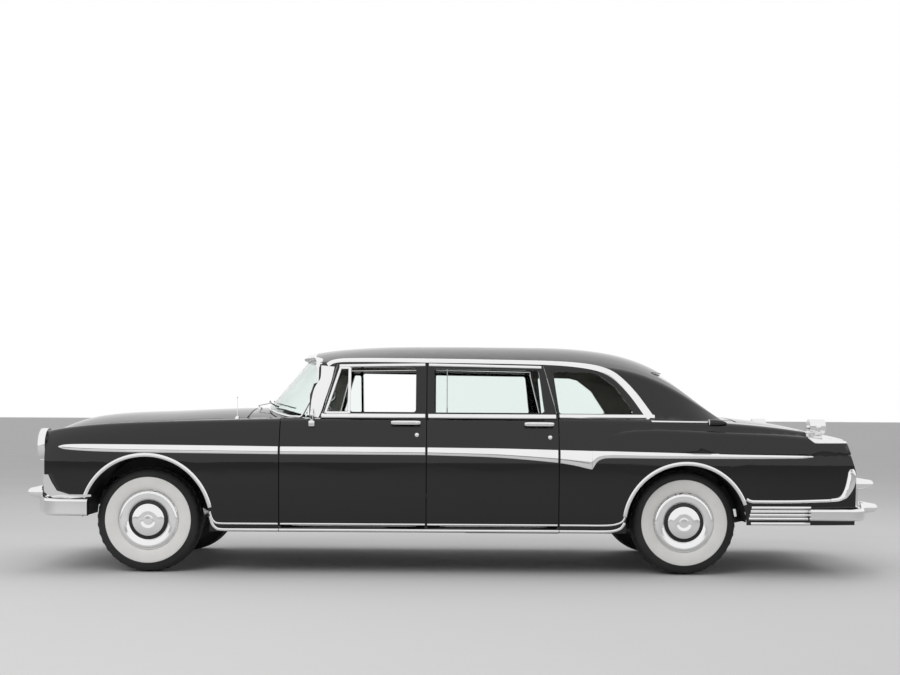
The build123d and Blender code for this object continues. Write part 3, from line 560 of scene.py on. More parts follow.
def roof_rails():
    rail = curve_through([
        (-905, 1480, 14), (-850, 1508, 14), (-700, 1517, 15), (-188, 1515, 15), (500, 1507, 15),
        (770, 1499, 16), (950, 1482, 18), (1060, 1458, 20), (1145, 1418, 22), (1220, 1352, 24),
        (1290, 1272, 25), (1345, 1195, 26), (1400, 1112, 27),
    ], 5)
    on_both_sides("roof_rail", ROOF, rail, proud=4, crown=6)
    front_top = curve_through([(-818, 1475, 8), (-500, 1481, 8), (-203, 1485, 8)], 8)
    on_both_sides("front_frame_top", FRONT_PAIR, front_top, proud=4, crown=4)
    rear_top = curve_through([(-177, 1485, 8), (200, 1479, 8), (628, 1471, 8)], 8)
    on_both_sides("rear_frame_top", REAR_PAIR, rear_top, proud=4, crown=4)
    pillar = curve_through([
        (-988, 1108, 30), (-975, 1170, 41), (-962, 1240, 47), (-945, 1300, 49), (-922, 1350, 42),
        (-910, 1390, 41), (-901, 1472, 48),
    ], 5)
    on_both_sides("screen_pillar", ROOF, pillar, proud=3, crown=4)
    frame_low = [Vector((x, 1122, 12)) for x in range(752, 1434, 40)]
    on_both_sides("quarter_window_sill", ROOF, frame_low, proud=4, crown=4)


def vent_frames():
    # Bright bars round the vent panes
    bars = {
        "foot": [(-902, 1139, 6), (-745, 1139, 6)],
        "slope": [(-910, 1136, 6), (-808, 1464, 6)],
        "head": [(-812, 1459, 6), (-745, 1459, 6)],
        "bar": [(-743, 1134, 8), (-743, 1464, 8)],
    }
    for label, ends in bars.items():
        on_both_sides("vent_" + label, FRONT_PAIR, curve_through(ends, 6), proud=5, crown=4)


def rear_ribs():
    for number, z in enumerate((489, 463, 437, 411)):
        run = [Vector((x, z, 6)) for x in range(2092 - number * 6, 2530, 60)]
        on_both_sides("quarter_rib_%d" % number, QUARTERS, run, proud=7, crown=5)
    upper = curve_through([
        (2056, 548, 7), (2085, 533, 7), (2140, 530, 7), (2400, 531, 7), (2690, 540, 7),
    ], 8)
    on_both_sides("quarter_upper_line", QUARTERS, upper, proud=6, crown=4)
    lower = [Vector((x, 375, 7)) for x in range(2090, 2560, 60)]
    on_both_sides("quarter_lower_line", QUARTERS, lower, proud=6, crown=4)


side_spear()
arch_lips()
sill_lines()
roof_rails()
vent_frames()
rear_ribs()


# Belt mouldings along the foot of the windows

def belt_lines():
    front = [Vector((x, 1116, 15)) for x in range(-938, -203, 30)] + [Vector((-201, 1116, 15))]
    rear = [Vector((x, 1116, 15)) for x in range(-179, 725, 30)] + [Vector((727, 1116, 15))]
    on_both_sides("front_belt", FRONT_PAIR, front, proud=4, crown=5)
    on_both_sides("rear_belt", REAR_PAIR, rear, proud=4, crown=5)
    tail = curve_through([(1398, 1090, 5), (1450, 1089, 5), (1650, 1087, 4.5), (1830, 1085, 4)], 8)
    on_both_sides("quarter_belt", QUARTERS, tail, proud=3, crown=3)


# Tyres with a white side band and a cut tread

TYRE_HALF = [
    (0, 372), (11, 372), (12, 364), (17, 364), (18, 371.6), (40, 370.6), (41, 363), (46, 363), (47, 370),
    (66, 367.5), (80, 362), (88, 354), (96, 340), (102, 324), (105.2, 308), (106.4, 305), (107.4, 303.6),
    (107.8, 290), (107, 270), (104, 250), (99, 232), (93, 220), (86, 213.5), (76, 213),
]
TYRE_TURN = 144
TYRE_RADIUS = 372
WHEEL_Y = 775
AXLES = {"front": -2160, "rear": 1637}


def shape_tyre(x, side):
    inner = [(60, 222), (84, 270), (78, 335), (0, 352), (-78, 335), (-84, 270), (-60, 222)]
    outline = TYRE_HALF + inner + [(-w, r) for w, r in reversed(TYRE_HALF[1:])]
    tyre = ring_of([(x, side * (WHEEL_Y + w), TYRE_RADIUS + r) for w, r in outline])
    spin_round(tyre, TYRE_TURN, (x / 1000, 0, TYRE_RADIUS / 1000), (0, 1, 0))
    close_up(tyre, 0.0001)
    cut_shoulders(tyre.data, x, side)
    return tyre


def cut_shoulders(mesh, x, side):
    # Two of every four steps of the shoulder ribs are let in, and the sidewall gets its white band
    hub = Vector((x / 1000, 0, TYRE_RADIUS / 1000))
    pitch = 2 * math.pi / TYRE_TURN
    for vertex in mesh.vertices:
        arm = vertex.co - hub
        reach = math.hypot(arm.x, arm.z)
        width = abs(abs(vertex.co.y) - WHEEL_Y / 1000)
        turn = round(math.atan2(arm.z, arm.x) / pitch)
        if reach > 0.361 and 0.046 < width < 0.082 and turn % 4 < 2:
            vertex.co = hub + Vector((arm.x * 0.984, arm.y, arm.z * 0.984))
    mesh.materials.clear()
    mesh.materials.append(rubber)
    mesh.materials.append(white_rubber)
    for face in mesh.polygons:
        reach = math.hypot(face.center.x - hub.x, face.center.z - hub.z)
        outboard = face.center.y * side - WHEEL_Y / 1000
        if 0.2135 < reach < 0.3037 and outboard > 0.075:
            face.material_index = 1


def fit_tyres():
    for end, x in AXLES.items():
        for side, label in SIDES:
            node = end + "_tyre_" + label
            tyre = shape_tyre(x, side)
            round_off(tyre, 35)
            tyre.name = node + "_tread"
            tyre.data.name = tyre.name
            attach(tyre, NODE_BODY[node])
            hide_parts(node)


def dress_covers():
    # Painted shade and dark reflection: a dark material on the ring between the cover's rim and its dome
    for end, x in AXLES.items():
        for side, label in SIDES:
            skin = SKINS[end + "_wheel_" + label].data
            skin.materials.append(painted_shade)
            for face in skin.polygons:
                reach = math.hypot(face.center.x - x / 1000, face.center.z - TYRE_RADIUS / 1000)
                if 0.114 < reach < 0.139 and face.center.y * side > WHEEL_Y / 1000:
                    face.material_index = 1


# Handles, locks, mirrors and the tools for small pieces

ABOVE_Z = 2


def skin_y(panel, x, z, side):
    # Where a panel's outside is at a place seen from the side
    start = Vector((x / 1000, side * CAST_FROM_Y, z / 1000))
    return SKINS[panel].ray_cast(start, Vector((0, -side, 0)))[1].y


def skin_top(panel, x, y):
    # How high a panel's outside is at a place seen from above
    start = Vector((x / 1000, y / 1000, ABOVE_Z))
    return SKINS[panel].ray_cast(start, Vector((0, 0, -1)))[1].z * 1000


def bar_between(x0, x1, y0, y1, z0, z1, levels=2):
    # Cube at its place, given extra rings so that its ends stay full when it is smoothed
    y0, y1 = sorted((y0, y1))
    bpy.ops.object.select_all(action="DESELECT")
    bpy.ops.mesh.primitive_cube_add(size=1)
    piece = bpy.context.object
    for vertex in piece.data.vertices:
        vertex.co = (
            (x1 if vertex.co.x > 0 else x0) / 1000,
            (y1 if vertex.co.y > 0 else y0) / 1000,
            (z1 if vertex.co.z > 0 else z0) / 1000,
        )
    open_mesh(piece)
    bpy.ops.mesh.subdivide(number_cuts=2)
    shut_mesh()
    round_up = piece.modifiers.new("round", "SUBSURF")
    round_up.levels = levels
    round_up.render_levels = levels
    apply_modifiers(piece)
    close_up(piece)
    round_off(piece, 60)
    return piece


def turn_profile(outline, centre, axis, steps=40, gap=0.0001, degrees=35):
    # Outline of (radius, along) pairs spun about an axis through the centre
    if axis == "X":
        piece = ring_of([(along, 0, radius) for radius, along in outline])
        spin_round(piece, steps, (0, 0, 0), (1, 0, 0))
    else:
        piece = ring_of([(radius, 0, along) for radius, along in outline])
        spin_round(piece, steps, (0, 0, 0), (0, 0, 1))
    piece.data.transform(Matrix.Translation(Vector(centre) / 1000))
    close_up(piece, gap)
    round_off(piece, degrees)
    return piece


def join_up(pieces):
    pick(pieces[0])
    for piece in pieces:
        piece.select_set(True)
    bpy.ops.object.join()
    return bpy.context.object


def disc(x, y, z, radius, depth, side, rim=0.25):
    # Bevelled round button that faces sideways
    bpy.ops.object.select_all(action="DESELECT")
    bpy.ops.mesh.primitive_cylinder_add(vertices=32, radius=radius / 1000, depth=depth / 1000)
    piece = bpy.context.object
    piece.data.transform(Matrix.Rotation(math.radians(90), 4, "X"))
    piece.data.transform(Matrix.Translation((x / 1000, y + side * depth / 2000 - side * 0.002, z / 1000)))
    soft = piece.modifiers.new("soft", "BEVEL")
    soft.width = radius * rim / 1000
    soft.segments = 3
    soft.limit_method = "ANGLE"
    apply_modifiers(piece)
    close_up(piece)
    round_off(piece, 40)
    return piece


def door_handle(name, panel, x0, x1, z, lock_x, lock_z, side):
    # Pull bar on two feet, a push button in its rear end and a round lock below
    skin = skin_y(panel, (x0 + x1) / 2, z, side) * 1000
    parts = [bar_between(x0, x1, skin + side * 20, skin + side * 38, z - 15, z + 13)]
    for x in (x0 + 22, x1 - 30):
        parts.append(bar_between(x - 16, x + 16, skin - side * 3, skin + side * 30, z - 12, z + 10))
    parts.append(disc(x1 - 26, (skin + side * 36) / 1000, z - 1, 9, 6, side))
    lock = skin_y(panel, lock_x, lock_z, side)
    parts.append(disc(lock_x, lock, lock_z, 15, 9, side))
    parts.append(disc(lock_x, lock + side * 0.006, lock_z, 8, 5, side))
    plate(join_up(parts), name, NODE_BODY[panel])


def handles():
    for side, label in SIDES:
        door_handle("front_handle_" + label, "front_door_" + label, -440, -232, 1072, -258, 985, side)
        door_handle("rear_handle_" + label, "rear_door_" + label, 498, 706, 1066, 678, 972, side)


MIRROR_BOWL = [(0, 4), (40, 4), (46, 0), (46, -5), (42, -9), (30, -20), (14, -27), (0, -29)]


def side_mirrors():
    # Round mirror on a bent stalk at the front corner of each front door
    for side, label in SIDES:
        panel = "front_door_" + label
        skin = skin_y(panel, -1000, 1060, side) * 1000
        foot = bar_between(-1022, -978, skin - side * 4, skin + side * 26, 1040, 1082)
        stalk = bar_between(-1008, -992, skin + side * 8, skin + side * 24, 1050, 1120)
        head = turn_profile(MIRROR_BOWL, (-985, skin + side * 14, 1122), "X", 32, 0.0002, 40)
        plate(join_up([foot, stalk, head]), "side_mirror_" + label, NODE_BODY[panel])


belt_lines()
fit_tyres()
dress_covers()
handles()
side_mirrors()


# Bright caps and lamps of the tail

CAP_CUTS = (
    ((2.5, 0, 0.944), (0, 0, 1)), ((2.455, 0, 1.012), (0.62, 0, 0.78)), ((2.5, 0, 0), (1, 0, 0)),
)


def tail_caps():
    # Rear ends of the fenders' crests, cut off the panel's own shape and plated
    cap = node_copy("quarter_panels", "tail_caps")
    for place, normal in CAP_CUTS:
        open_mesh(cap)
        bpy.ops.mesh.bisect(plane_co=place, plane_no=normal, clear_inner=True, use_fill=True)
        shut_mesh()
    swell = cap.modifiers.new("swell", "DISPLACE")
    swell.strength = 0.003
    swell.mid_level = 0
    apply_modifiers(cap)
    round_off(cap, 30)
    plate(cap, "tail_caps")


TAIL_LAMP_X, TAIL_LAMP_Y, TAIL_LAMP_Z = 2577, 850, 1053


def tail_lamp_stalks():
    # Bullet lamp in a ring, on a waisted stalk
    shells = []
    lenses = []
    bullet = [(0, -72), (7, -70), (16, -58), (26, -38), (34, -14), (38, 6), (39, 20), (36, 26), (0, 26)]
    ring = [(44, -12), (49, -16), (54, -12), (57, -2), (57, 10), (54, 18), (49, 20), (45, 16), (43, 4)]
    lens = [(0, 22), (35, 22), (35, 28), (31, 40), (22, 50), (10, 56), (0, 57)]
    foot = [(0, -72), (44, -72), (40, -64), (24, -58), (16, -48), (15, -38), (20, -28), (0, -28)]
    for side in (-1, 1):
        centre = (TAIL_LAMP_X, side * TAIL_LAMP_Y, TAIL_LAMP_Z)
        shells += [turn_profile(bullet, centre, "X"), turn_profile(ring, centre, "X")]
        shells.append(turn_profile(foot, centre, "Z"))
        shells += [ring_spoke(centre, turn) for turn in range(0, 360, 90)]
        lenses.append(turn_profile(lens, centre, "X"))
    shell = plate(join_up(shells), "tail_lamp_shells")
    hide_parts("tail_lamps")
    fit(join_up(lenses), "tail_lamp_lenses", "body", ruby)


def ring_spoke(centre, turn):
    spoke = bar_between(-6, 8, -4, 4, 34, 48, 1)
    spoke.data.transform(Matrix.Rotation(math.radians(turn + 45), 4, "X"))
    spoke.data.transform(Matrix.Translation(Vector(centre) / 1000))
    return spoke


def rear_hooks():
    hook = curve_through([
        (2655, 542, 7), (2715, 550, 11), (2758, 575, 18), (2788, 628, 25), (2804, 688, 27), (2806, 735, 20),
        (2802, 760, 9),
    ])
    on_both_sides("rear_hook", QUARTERS, hook, proud=9, crown=12)


# Seats: sewn cushions, blown up as cloth and stitched into pleats

CUSHION_EDGE = 0.022
CUSHION_VOXEL = 0.012
SWELL_MOST = 0.022
SWELL_PRESSURE = 4
SWELL_FRAMES = 20
PLEAT_PITCH = 0.11
PLEAT_DEPTH = 0.007
PLEAT_WIDTH = 0.009


def cushion_block(outline, half, name):
    # Side outline carried across the car, with rounded edges
    block = ring_of([(x, -half, z) for x, z in outline], "NGON")
    open_mesh(block)
    bpy.ops.mesh.extrude_region_move(TRANSFORM_OT_translate={"value": (0, 2 * half / 1000, 0)})
    shut_mesh()
    close_up(block)
    soft = block.modifiers.new("soft", "BEVEL")
    soft.width = CUSHION_EDGE
    soft.segments = 3
    remesh = block.modifiers.new("even", "REMESH")
    remesh.mode = "VOXEL"
    remesh.voxel_size = CUSHION_VOXEL
    apply_modifiers(block)
    block.name = name
    return block


def inflate(block):
    # Cloth under pressure, with no point moving more than a set distance
    start = [vertex.co.copy() for vertex in block.data.vertices]
    cloth_sim = block.modifiers.new("cloth", "CLOTH")
    cloth_sim.settings.use_pressure = True
    cloth_sim.settings.uniform_pressure_force = SWELL_PRESSURE
    cloth_sim.settings.effector_weights.gravity = 0
    cloth_sim.settings.quality = 4
    cloth_sim.point_cache.frame_start = 1
    cloth_sim.point_cache.frame_end = SWELL_FRAMES
    for frame_number in range(1, SWELL_FRAMES + 1):
        scene.frame_set(frame_number)
    apply_modifiers(block)
    scene.frame_set(1)
    for vertex, before in zip(block.data.vertices, start):
        step = vertex.co - before
        if step.length > SWELL_MOST:
            vertex.co = before + step.normalized() * SWELL_MOST


def stitch(block, half):
    # Pleats across the bench: each seam line is drawn in
    smooth = block.modifiers.new("smooth", "SUBSURF")
    smooth.levels = 1
    smooth.render_levels = 1
    apply_modifiers(block)
    normals = [vertex.normal.copy() for vertex in block.data.vertices]
    for vertex, normal in zip(block.data.vertices, normals):
        away = (vertex.co.y + PLEAT_PITCH / 2) % PLEAT_PITCH - PLEAT_PITCH / 2
        if abs(vertex.co.y) < half - PLEAT_PITCH * 0.4 and abs(normal.y) < 0.5:
            vertex.co -= normal * PLEAT_DEPTH * math.exp(-((away / PLEAT_WIDTH) ** 2))
    round_off(block, 80)


def bench(name, node, seat, back, half, material):
    for label, outline in (("cushion", seat), ("back", back)):
        block = cushion_block(outline, half - 1000 * SWELL_MOST, name + "_" + label)
        inflate(block)
        stitch(block, half / 1000)
        fit(block, name + "_" + label, "body", material)
    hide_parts(node)


def seats():
    front_seat = [(-678, 480), (-678, 618), (-630, 664), (-292, 622), (-282, 480)]
    front_back = [(-268, 480), (-262, 640), (-160, 1052), (-92, 1064), (-84, 480)]
    bench("front_bench", "front_seat", front_seat, front_back, 770, hide)
    rear_seat = [(922, 480), (922, 636), (968, 680), (1232, 662), (1226, 480)]
    rear_back = [(1318, 690), (1306, 715), (1414, 1056), (1496, 1076), (1496, 684)]
    bench("rear_bench", "rear_seat", rear_seat, rear_back, 615, cloth)


tail_caps()
tail_lamp_stalks()
rear_hooks()
seats()


# Helpers for swept pieces

def tube(points, radius, closed=False):
    # Round bar along a run of points
    bpy.ops.object.select_all(action="DESELECT")
    bpy.ops.curve.primitive_nurbs_path_add()
    wire = bpy.context.object
    wire.data.splines.clear()
    spline = wire.data.splines.new("POLY")
    spline.points.add(len(points) - 1)
    for point, place in zip(spline.points, points):
        point.co = (*[part / 1000 for part in place], 1)
    spline.use_cyclic_u = closed
    wire.data.dimensions = "3D"
    wire.data.bevel_depth = radius / 1000
    wire.data.bevel_resolution = 3
    wire.data.use_fill_caps = True
    pick(wire)
    bpy.ops.object.convert(target="MESH")
    piece = bpy.context.object
    close_up(piece)
    round_off(piece, 50)
    return piece


def loft(rings):
    # Closed skin over a row of rings that have the same count of points
    count = len(rings[0])
    bpy.ops.object.select_all(action="DESELECT")
    bpy.ops.mesh.primitive_grid_add(x_subdivisions=len(rings) - 1, y_subdivisions=count, size=2)
    piece = bpy.context.object
    start = piece.data.vertices
    order = sorted(range(len(start)), key=lambda i: (round(start[i].co.x, 5), start[i].co.y))
    for place, index in enumerate(order):
        ring, spot = divmod(place, count + 1)
        start[index].co = Vector(rings[ring][spot % count]) / 1000
    open_mesh(piece)
    bpy.ops.mesh.remove_doubles(threshold=MERGE_GAP)
    bpy.ops.mesh.fill_holes(sides=0)
    shut_mesh()
    close_up(piece)
    round_off(piece, 40)
    return piece


# Headlamps

LAMP_CENTRE = (-2912, 745, 897)


def headlamps():
    dome = [(0, -30), (30, -28), (58, -21), (78, -11), (87, 0), (87, 10), (0, 10)]
    x, y, z = LAMP_CENTRE
    lenses = [turn_profile(dome, (x, side * y, z), "X") for side in (-1, 1)]
    fit(join_up(lenses), "headlamp_domes", "body", lamp_glass)
    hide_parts("headlamp_lenses")


# Frames of the windscreen and the rear window

AHEAD_X = -2500
BEHIND_X = 3500


def glass_edge(node, y, top, from_x):
    # Place on a pane's upper or lower edge, looking at it from the front or from the rear
    way = Vector((1 if from_x < 0 else -1, 0, 0))
    heights = range(1620, 1090, -2) if top else range(1090, 1620, 2)
    for z in heights:
        start = Vector((from_x / 1000, y / 1000, z / 1000))
        hit, place = nodes[node].ray_cast(start, way)[:2]
        if hit and abs(place.x) > 0.95:
            return Vector((place.x * 1000, y, z))
    return None


def glass_loop(node, half, from_x):
    # Way round a pane: along its foot and back along its head
    across = [half * math.sin(math.pi * step / 120) for step in range(-60, 61)]
    foot = [glass_edge(node, y, False, from_x) for y in across]
    head = [glass_edge(node, y, True, from_x) for y in reversed(across)]
    loop = [place for place in foot + head if place]
    count = len(loop)
    for turn in range(4):
        loop = [(loop[i - 1] + loop[i] * 2 + loop[(i + 1) % count]) / 4 for i in range(count)]
    return loop


def pane_frames():
    ahead = Vector((-5, 0, 3))
    screen = [place + ahead for place in glass_loop("windscreen", 810, AHEAD_X)]
    plate(tube(screen, 9, True), "windscreen_reveal")
    behind = Vector((-1, 0, 0))
    rear = [place + behind for place in glass_loop("body_glass", 570, BEHIND_X)]
    plate(tube(rear, 8, True), "rear_window_reveal")


ROOF_FROM_Z = 1.4


def roof_edge(y):
    # Foremost place on the roof at a place across the car
    for x in range(-1100, -900, 2):
        start = Vector((x / 1000, y / 1000, ABOVE_Z))
        hit, place = SKINS["roof"].ray_cast(start, Vector((0, 0, -1)))[:2]
        if hit and place.z > ROOF_FROM_Z:
            return Vector((x, y, place.z * 1000))
    return None


VISOR_HALF = 738
VISOR_REACH = 46
VISOR_STEPS = 44


def even_out(places, turns):
    # Draws the places of a run towards their neighbours, with its ends held
    for turn in range(turns):
        inner = [(places[i - 1] + places[i] * 2 + places[i + 1]) / 4 for i in range(1, len(places) - 1)]
        places = [places[0]] + inner + [places[-1]]
    return places


def header_visor():
    # Bright brow over the windscreen from corner to corner, deepest in the middle
    across = [VISOR_HALF * (2 * step / VISOR_STEPS - 1) for step in range(VISOR_STEPS + 1)]
    heads = even_out([glass_edge("windscreen", y, True, AHEAD_X) for y in across], 4)
    edges = even_out([roof_edge(y) for y in across], 2)
    rings = []
    for pane, edge, y in zip(heads, edges, across):
        reach = VISOR_REACH * (1 - 0.45 * (y / VISOR_HALF) ** 2)
        tip = pane + Vector((-reach, 0, 8))
        brow = (tip + edge) / 2 + Vector((-6, 0, 12))
        rings.append([
            pane + Vector((4, 0, -14)), tip + Vector((4, 0, -8)), tip, brow, edge + Vector((14, 0, 5)),
            edge + Vector((16, 0, -8)), pane + Vector((26, 0, -4)),
        ])
    plate(loft(rings), "header_visor")


# Wipers, antenna and the intakes beside the rear window

WIPER_Y = 260
ANTENNA_AT = (-1548, -770)


def wipers():
    arms = []
    blades = []
    for side in (-1, 1):
        pivot = Vector((-1452, side * WIPER_Y, 1164))
        cap = [(0, -4), (15, -4), (15, 6), (10, 14), (0, 17)]
        arms.append(turn_profile(cap, pivot, "Z"))
        line = []
        for step in range(13):
            y = side * (130 + 36 * step)
            foot = glass_edge("windscreen", y, False, AHEAD_X)
            line.append(foot + Vector((12, 0, 48)))
        middle = line[6]
        bend = pivot + Vector((-6, side * 60, 26))
        arms.append(tube([pivot + Vector((0, 0, 12)), bend, middle + Vector((-12, 0, 2))], 4))
        blades.append(tube([place + Vector((-10, 0, 0)) for place in line], 5))
    plate(join_up(arms), "wiper_arms")
    fit(join_up(blades), "wiper_blades", "body", seal)


def antenna():
    x, y = ANTENNA_AT
    z = skin_top("front_fenders", x, y)
    cup = turn_profile([(0, -6), (17, -6), (17, 3), (11, 14), (5, 20), (0, 20)], (x, y, z), "Z")
    mast = tube([(x, y, z + 12), (x, y, z + 150)], 2.5)
    knob = turn_profile([(0, 146), (4, 147), (5, 152), (4, 157), (0, 158)], (x, y, z), "Z", 16)
    plate(join_up([cup, mast, knob]), "antenna")


INTAKE_X = 1806
INTAKE_Z = 1078
INTAKE_LENGTH = 128


def around(x, y, z, radius, count):
    # Circle of points across the car's long axis
    turns = [2 * math.pi * spot / count for spot in range(count)]
    return [(x, y + radius * math.cos(turn), z + radius * math.sin(turn)) for turn in turns]


def intakes():
    # Egg-shaped air intakes at the ends of the belt line
    for side, label in SIDES:
        centre = skin_y("quarter_panels", 1868, 1074, side) * 1000
        rings = []
        for step in range(10):
            along = step / 9
            girth = 27 * math.sqrt(max(0.02, 1 - (1.25 * along - 0.25) ** 2))
            rings.append(around(INTAKE_X + INTAKE_LENGTH * along, centre, INTAKE_Z, girth, 16))
        fit(loft(rings), "air_intake_" + label, "body", paint)
        plate(tube(around(INTAKE_X, centre, INTAKE_Z, 25, 24), 3, True), "intake_rim_" + label)


# Cabin fittings

WHEEL_CENTRE = Vector((-840, -380, 1000))
WHEEL_LEAN = Matrix.Rotation(math.radians(62), 3, "Y")


def on_wheel(radius, degrees, rise):
    # Place given in the steering wheel's own plane
    turn = math.radians(degrees)
    return WHEEL_CENTRE + WHEEL_LEAN @ Vector((radius * math.cos(turn), radius * math.sin(turn), rise))


def horn_ring():
    ring = [on_wheel(130, 360 * step / 48, 16) for step in range(48)]
    parts = [tube(ring, 4, True)]
    for degrees in (90, 270):
        parts.append(tube([on_wheel(30, degrees, 20), on_wheel(130, degrees, 16)], 4))
    button = turn_profile([(0, 22), (36, 22), (36, 28), (28, 36), (0, 40)], (0, 0, 0), "Z")
    button.data.transform(Matrix.Translation(WHEEL_CENTRE / 1000) @ WHEEL_LEAN.to_4x4())
    parts.append(button)
    plate(join_up(parts), "horn_ring")


DASH_FACE_X = -1000
DIALS = ((-470, 965, 58), (-320, 965, 58), (-395, 1005, 26), (-395, 930, 26), (0, 965, 44))


def gauges():
    # Round instruments on the dashboard, with plain faces and a needle each
    rims = []
    faces = []
    for y, z, radius in DIALS:
        centre = (DASH_FACE_X, y, z)
        rim = [(-6, 0), (-4, 8), (2, 10), (6, 5), (6, -2), (-6, -2)]
        rims.append(turn_profile([(radius + out, along) for out, along in rim], centre, "X"))
        faces.append(turn_profile([(0, -1), (radius - 5, -1), (radius - 5, 3), (0, 3)], centre, "X"))
        needle_x = DASH_FACE_X + 5
        rims.append(tube([(needle_x, y, z), (needle_x, y - radius * 0.5, z + radius * 0.5)], 1.5))
    plate(join_up(rims), "gauge_rims")
    fit(join_up(faces), "gauge_faces", "body", dial)


def dash_trim():
    # Bright line across the dashboard, a glove box and a row of knobs
    parts = [bar_between(DASH_FACE_X - 2, DASH_FACE_X + 6, -780, 780, 893, 903, 1)]
    parts.append(bar_between(DASH_FACE_X - 2, DASH_FACE_X + 14, 420, 470, 985, 997, 1))
    for y in (-90, -45, 45, 90):
        knob = [(0, -2), (7, -2), (7, 10), (12, 14), (12, 20), (8, 24), (0, 24)]
        parts.append(turn_profile(knob, (DASH_FACE_X, y, 920), "X", 20))
    plate(join_up(parts), "dash_trim")
    lid = bar_between(DASH_FACE_X - 3, DASH_FACE_X + 4, 260, 630, 918, 1022, 1)
    fit(lid, "glove_box_lid", "body", dash_paint)


def pedals():
    parts = []
    for y, wide in ((-470, 70), (-350, 110)):
        parts.append(bar_between(-1182, -1166, y - wide / 2, y + wide / 2, 560, 620))
        parts.append(tube([(-1176, y, 590), (-1240, y, 640), (-1326, y, 820)], 8))
    parts.append(bar_between(-1210, -1196, -250, -190, 480, 640))
    fit(join_up(parts), "pedals", "body", seal)


def inner_mirror():
    head = bar_between(-1042, -1026, -100, 100, 1478, 1530)
    stalk = tube([(-1030, 0, 1510), (-1012, 0, 1540), (-1005, 0, 1556)], 6)
    plate(join_up([head, stalk]), "inner_mirror")


def door_fittings():
    # Arm rest, pull handle and window crank inside each door
    places = {"front": (-820, -330), "rear": (60, 520)}
    for end, (front_x, rear_x) in places.items():
        for side, label in SIDES:
            node = end + "_door_" + label
            start = Vector(((front_x + rear_x) / 2000, 0, 0.8))
            wall = SKINS[node].ray_cast(start, Vector((0, side, 0)))[1].y * 1000
            rest = bar_between(rear_x - 330, rear_x, wall + side * 4, wall - side * 48, 742, 806, 3)
            fit(rest, end + "_arm_rest_" + label, NODE_BODY[node], hide)
            reach = wall - side * 20
            crank_x = front_x + 150
            parts = [disc(crank_x, wall / 1000, 800, 22, 14, -side)]
            crank = [(crank_x, wall - side * 6, 800), (crank_x + 20, reach, 850), (crank_x + 30, reach, 890)]
            parts.append(tube(crank, 6))
            parts.append(disc(crank_x + 30, reach / 1000, 890, 13, 22, -side))
            parts.append(disc(front_x + 330, wall / 1000, 900, 20, 12, -side))
            parts.append(tube([(front_x + 330, reach, 900), (front_x + 250, reach, 906)], 7))
            plate(join_up(parts), end + "_inner_handles_" + label, NODE_BODY[node])


def scuff_plates():
    # Ribbed bright plates on the sills under the doors
    for side, label in SIDES:
        parts = []
        for x0, x1 in ((-1130, -260), (-90, 660)):
            for row in range(5):
                near, far = sorted((side * (872 + row * 14), side * (881 + row * 14)))
                z = skin_top("sills", (x0 + x1) / 2, near)
                parts.append(bar_between(x0, x1, near, far, z - 2, z + 3, 1))
        plate(join_up(parts), "scuff_plates_" + label)


# Corners of the shelf between the roof, the trunk lid and the fenders

SHELF_CORNER = [(1888, 694), (1920, 652), (1960, 602), (2000, 576), (2036, 550)]
SHELF_OUTER_Y = 703


def shelf_corners():
    for side, label in SIDES:
        rings = []
        for x, inner_y in SHELF_CORNER:
            outer_z = skin_top("quarter_panels", x, side * 702) - 1
            inner_z = outer_z + 0.1 * (SHELF_OUTER_Y - inner_y)
            inner, outer = (x, side * inner_y, inner_z), (x, side * SHELF_OUTER_Y, outer_z)
            rings.append([inner, outer, (*outer[:2], outer_z - 5), (*inner[:2], inner_z - 5)])
        fit(loft(rings), "shelf_corner_" + label, "body", paint)


# Wheel arch liners

LINER = {
    "front": (-2160, 372, 456, 3, 177, 492, 905),
    "rear": (1637, 358, 428, 3, 13, 640, 905),
}
APRON_Z = 655


def arch_sheet(x, z, radius, start, end, near, far, side):
    # Bent sheet over a wheel, from angle to angle
    rings = []
    steps = max(4, round(abs(end - start) / 4))
    for step in range(steps + 1):
        angle = math.radians(start + (end - start) * step / steps)
        rings.append([
            (x + r * math.cos(angle), side * y, z + r * math.sin(angle))
            for r, y in ((radius, near), (radius, far), (radius + 5, far), (radius + 5, near))
        ])
    return loft(rings)


def arch_liners():
    for side, label in SIDES:
        x, z, radius = LINER["front"][:3]
        near = LINER["front"][5]
        parts = [arch_sheet(*LINER["front"], side)]
        wall = []
        low = math.asin((APRON_Z - z) / radius)
        for step in range(25):
            angle = low + (math.pi - 2 * low) * step / 24
            wall.append((x + (radius + 3) * math.cos(angle), z + (radius + 3) * math.sin(angle)))
        rings = [[(px, side * y, pz) for px, pz in wall] for y in (near - 1, near + 4)]
        parts.append(loft(rings))
        fit(join_up(parts), "front_arch_liner_" + label, "body", black_steel)
        x, z, radius, start, end, near, far = LINER["rear"]
        parts = [arch_sheet(*LINER["rear"], side)]
        parts.append(arch_sheet(x, z, radius, 180 - end, 180 - start, near, far, side))
        fit(join_up(parts), "rear_arch_liner_" + label, "body", black_steel)


# Under the hood

def radiator():
    core = bar_between(-2760, -2700, -400, 400, 470, 900, 1)
    fit(core, "radiator_core", "body", black_steel)
    tank = bar_between(-2772, -2690, -410, 410, 880, 960, 2)
    neck = turn_profile([(0, 0), (30, 0), (30, 16), (38, 18), (38, 34), (0, 38)], (-2731, 120, 948), "Z")
    fit(join_up([tank, neck]), "radiator_tank", "body", black_steel)
    fins = [bar_between(-2764, -2758, -395, 395, z, z + 3, 1) for z in range(490, 890, 12)]
    fit(join_up(fins), "radiator_fins", "body", iron)
    hose = tube([(-2700, 60, 925), (-2600, 60, 945), (-2480, 40, 960), (-2330, 40, 970)], 24)
    fit(hose, "radiator_hose", "body", seal)


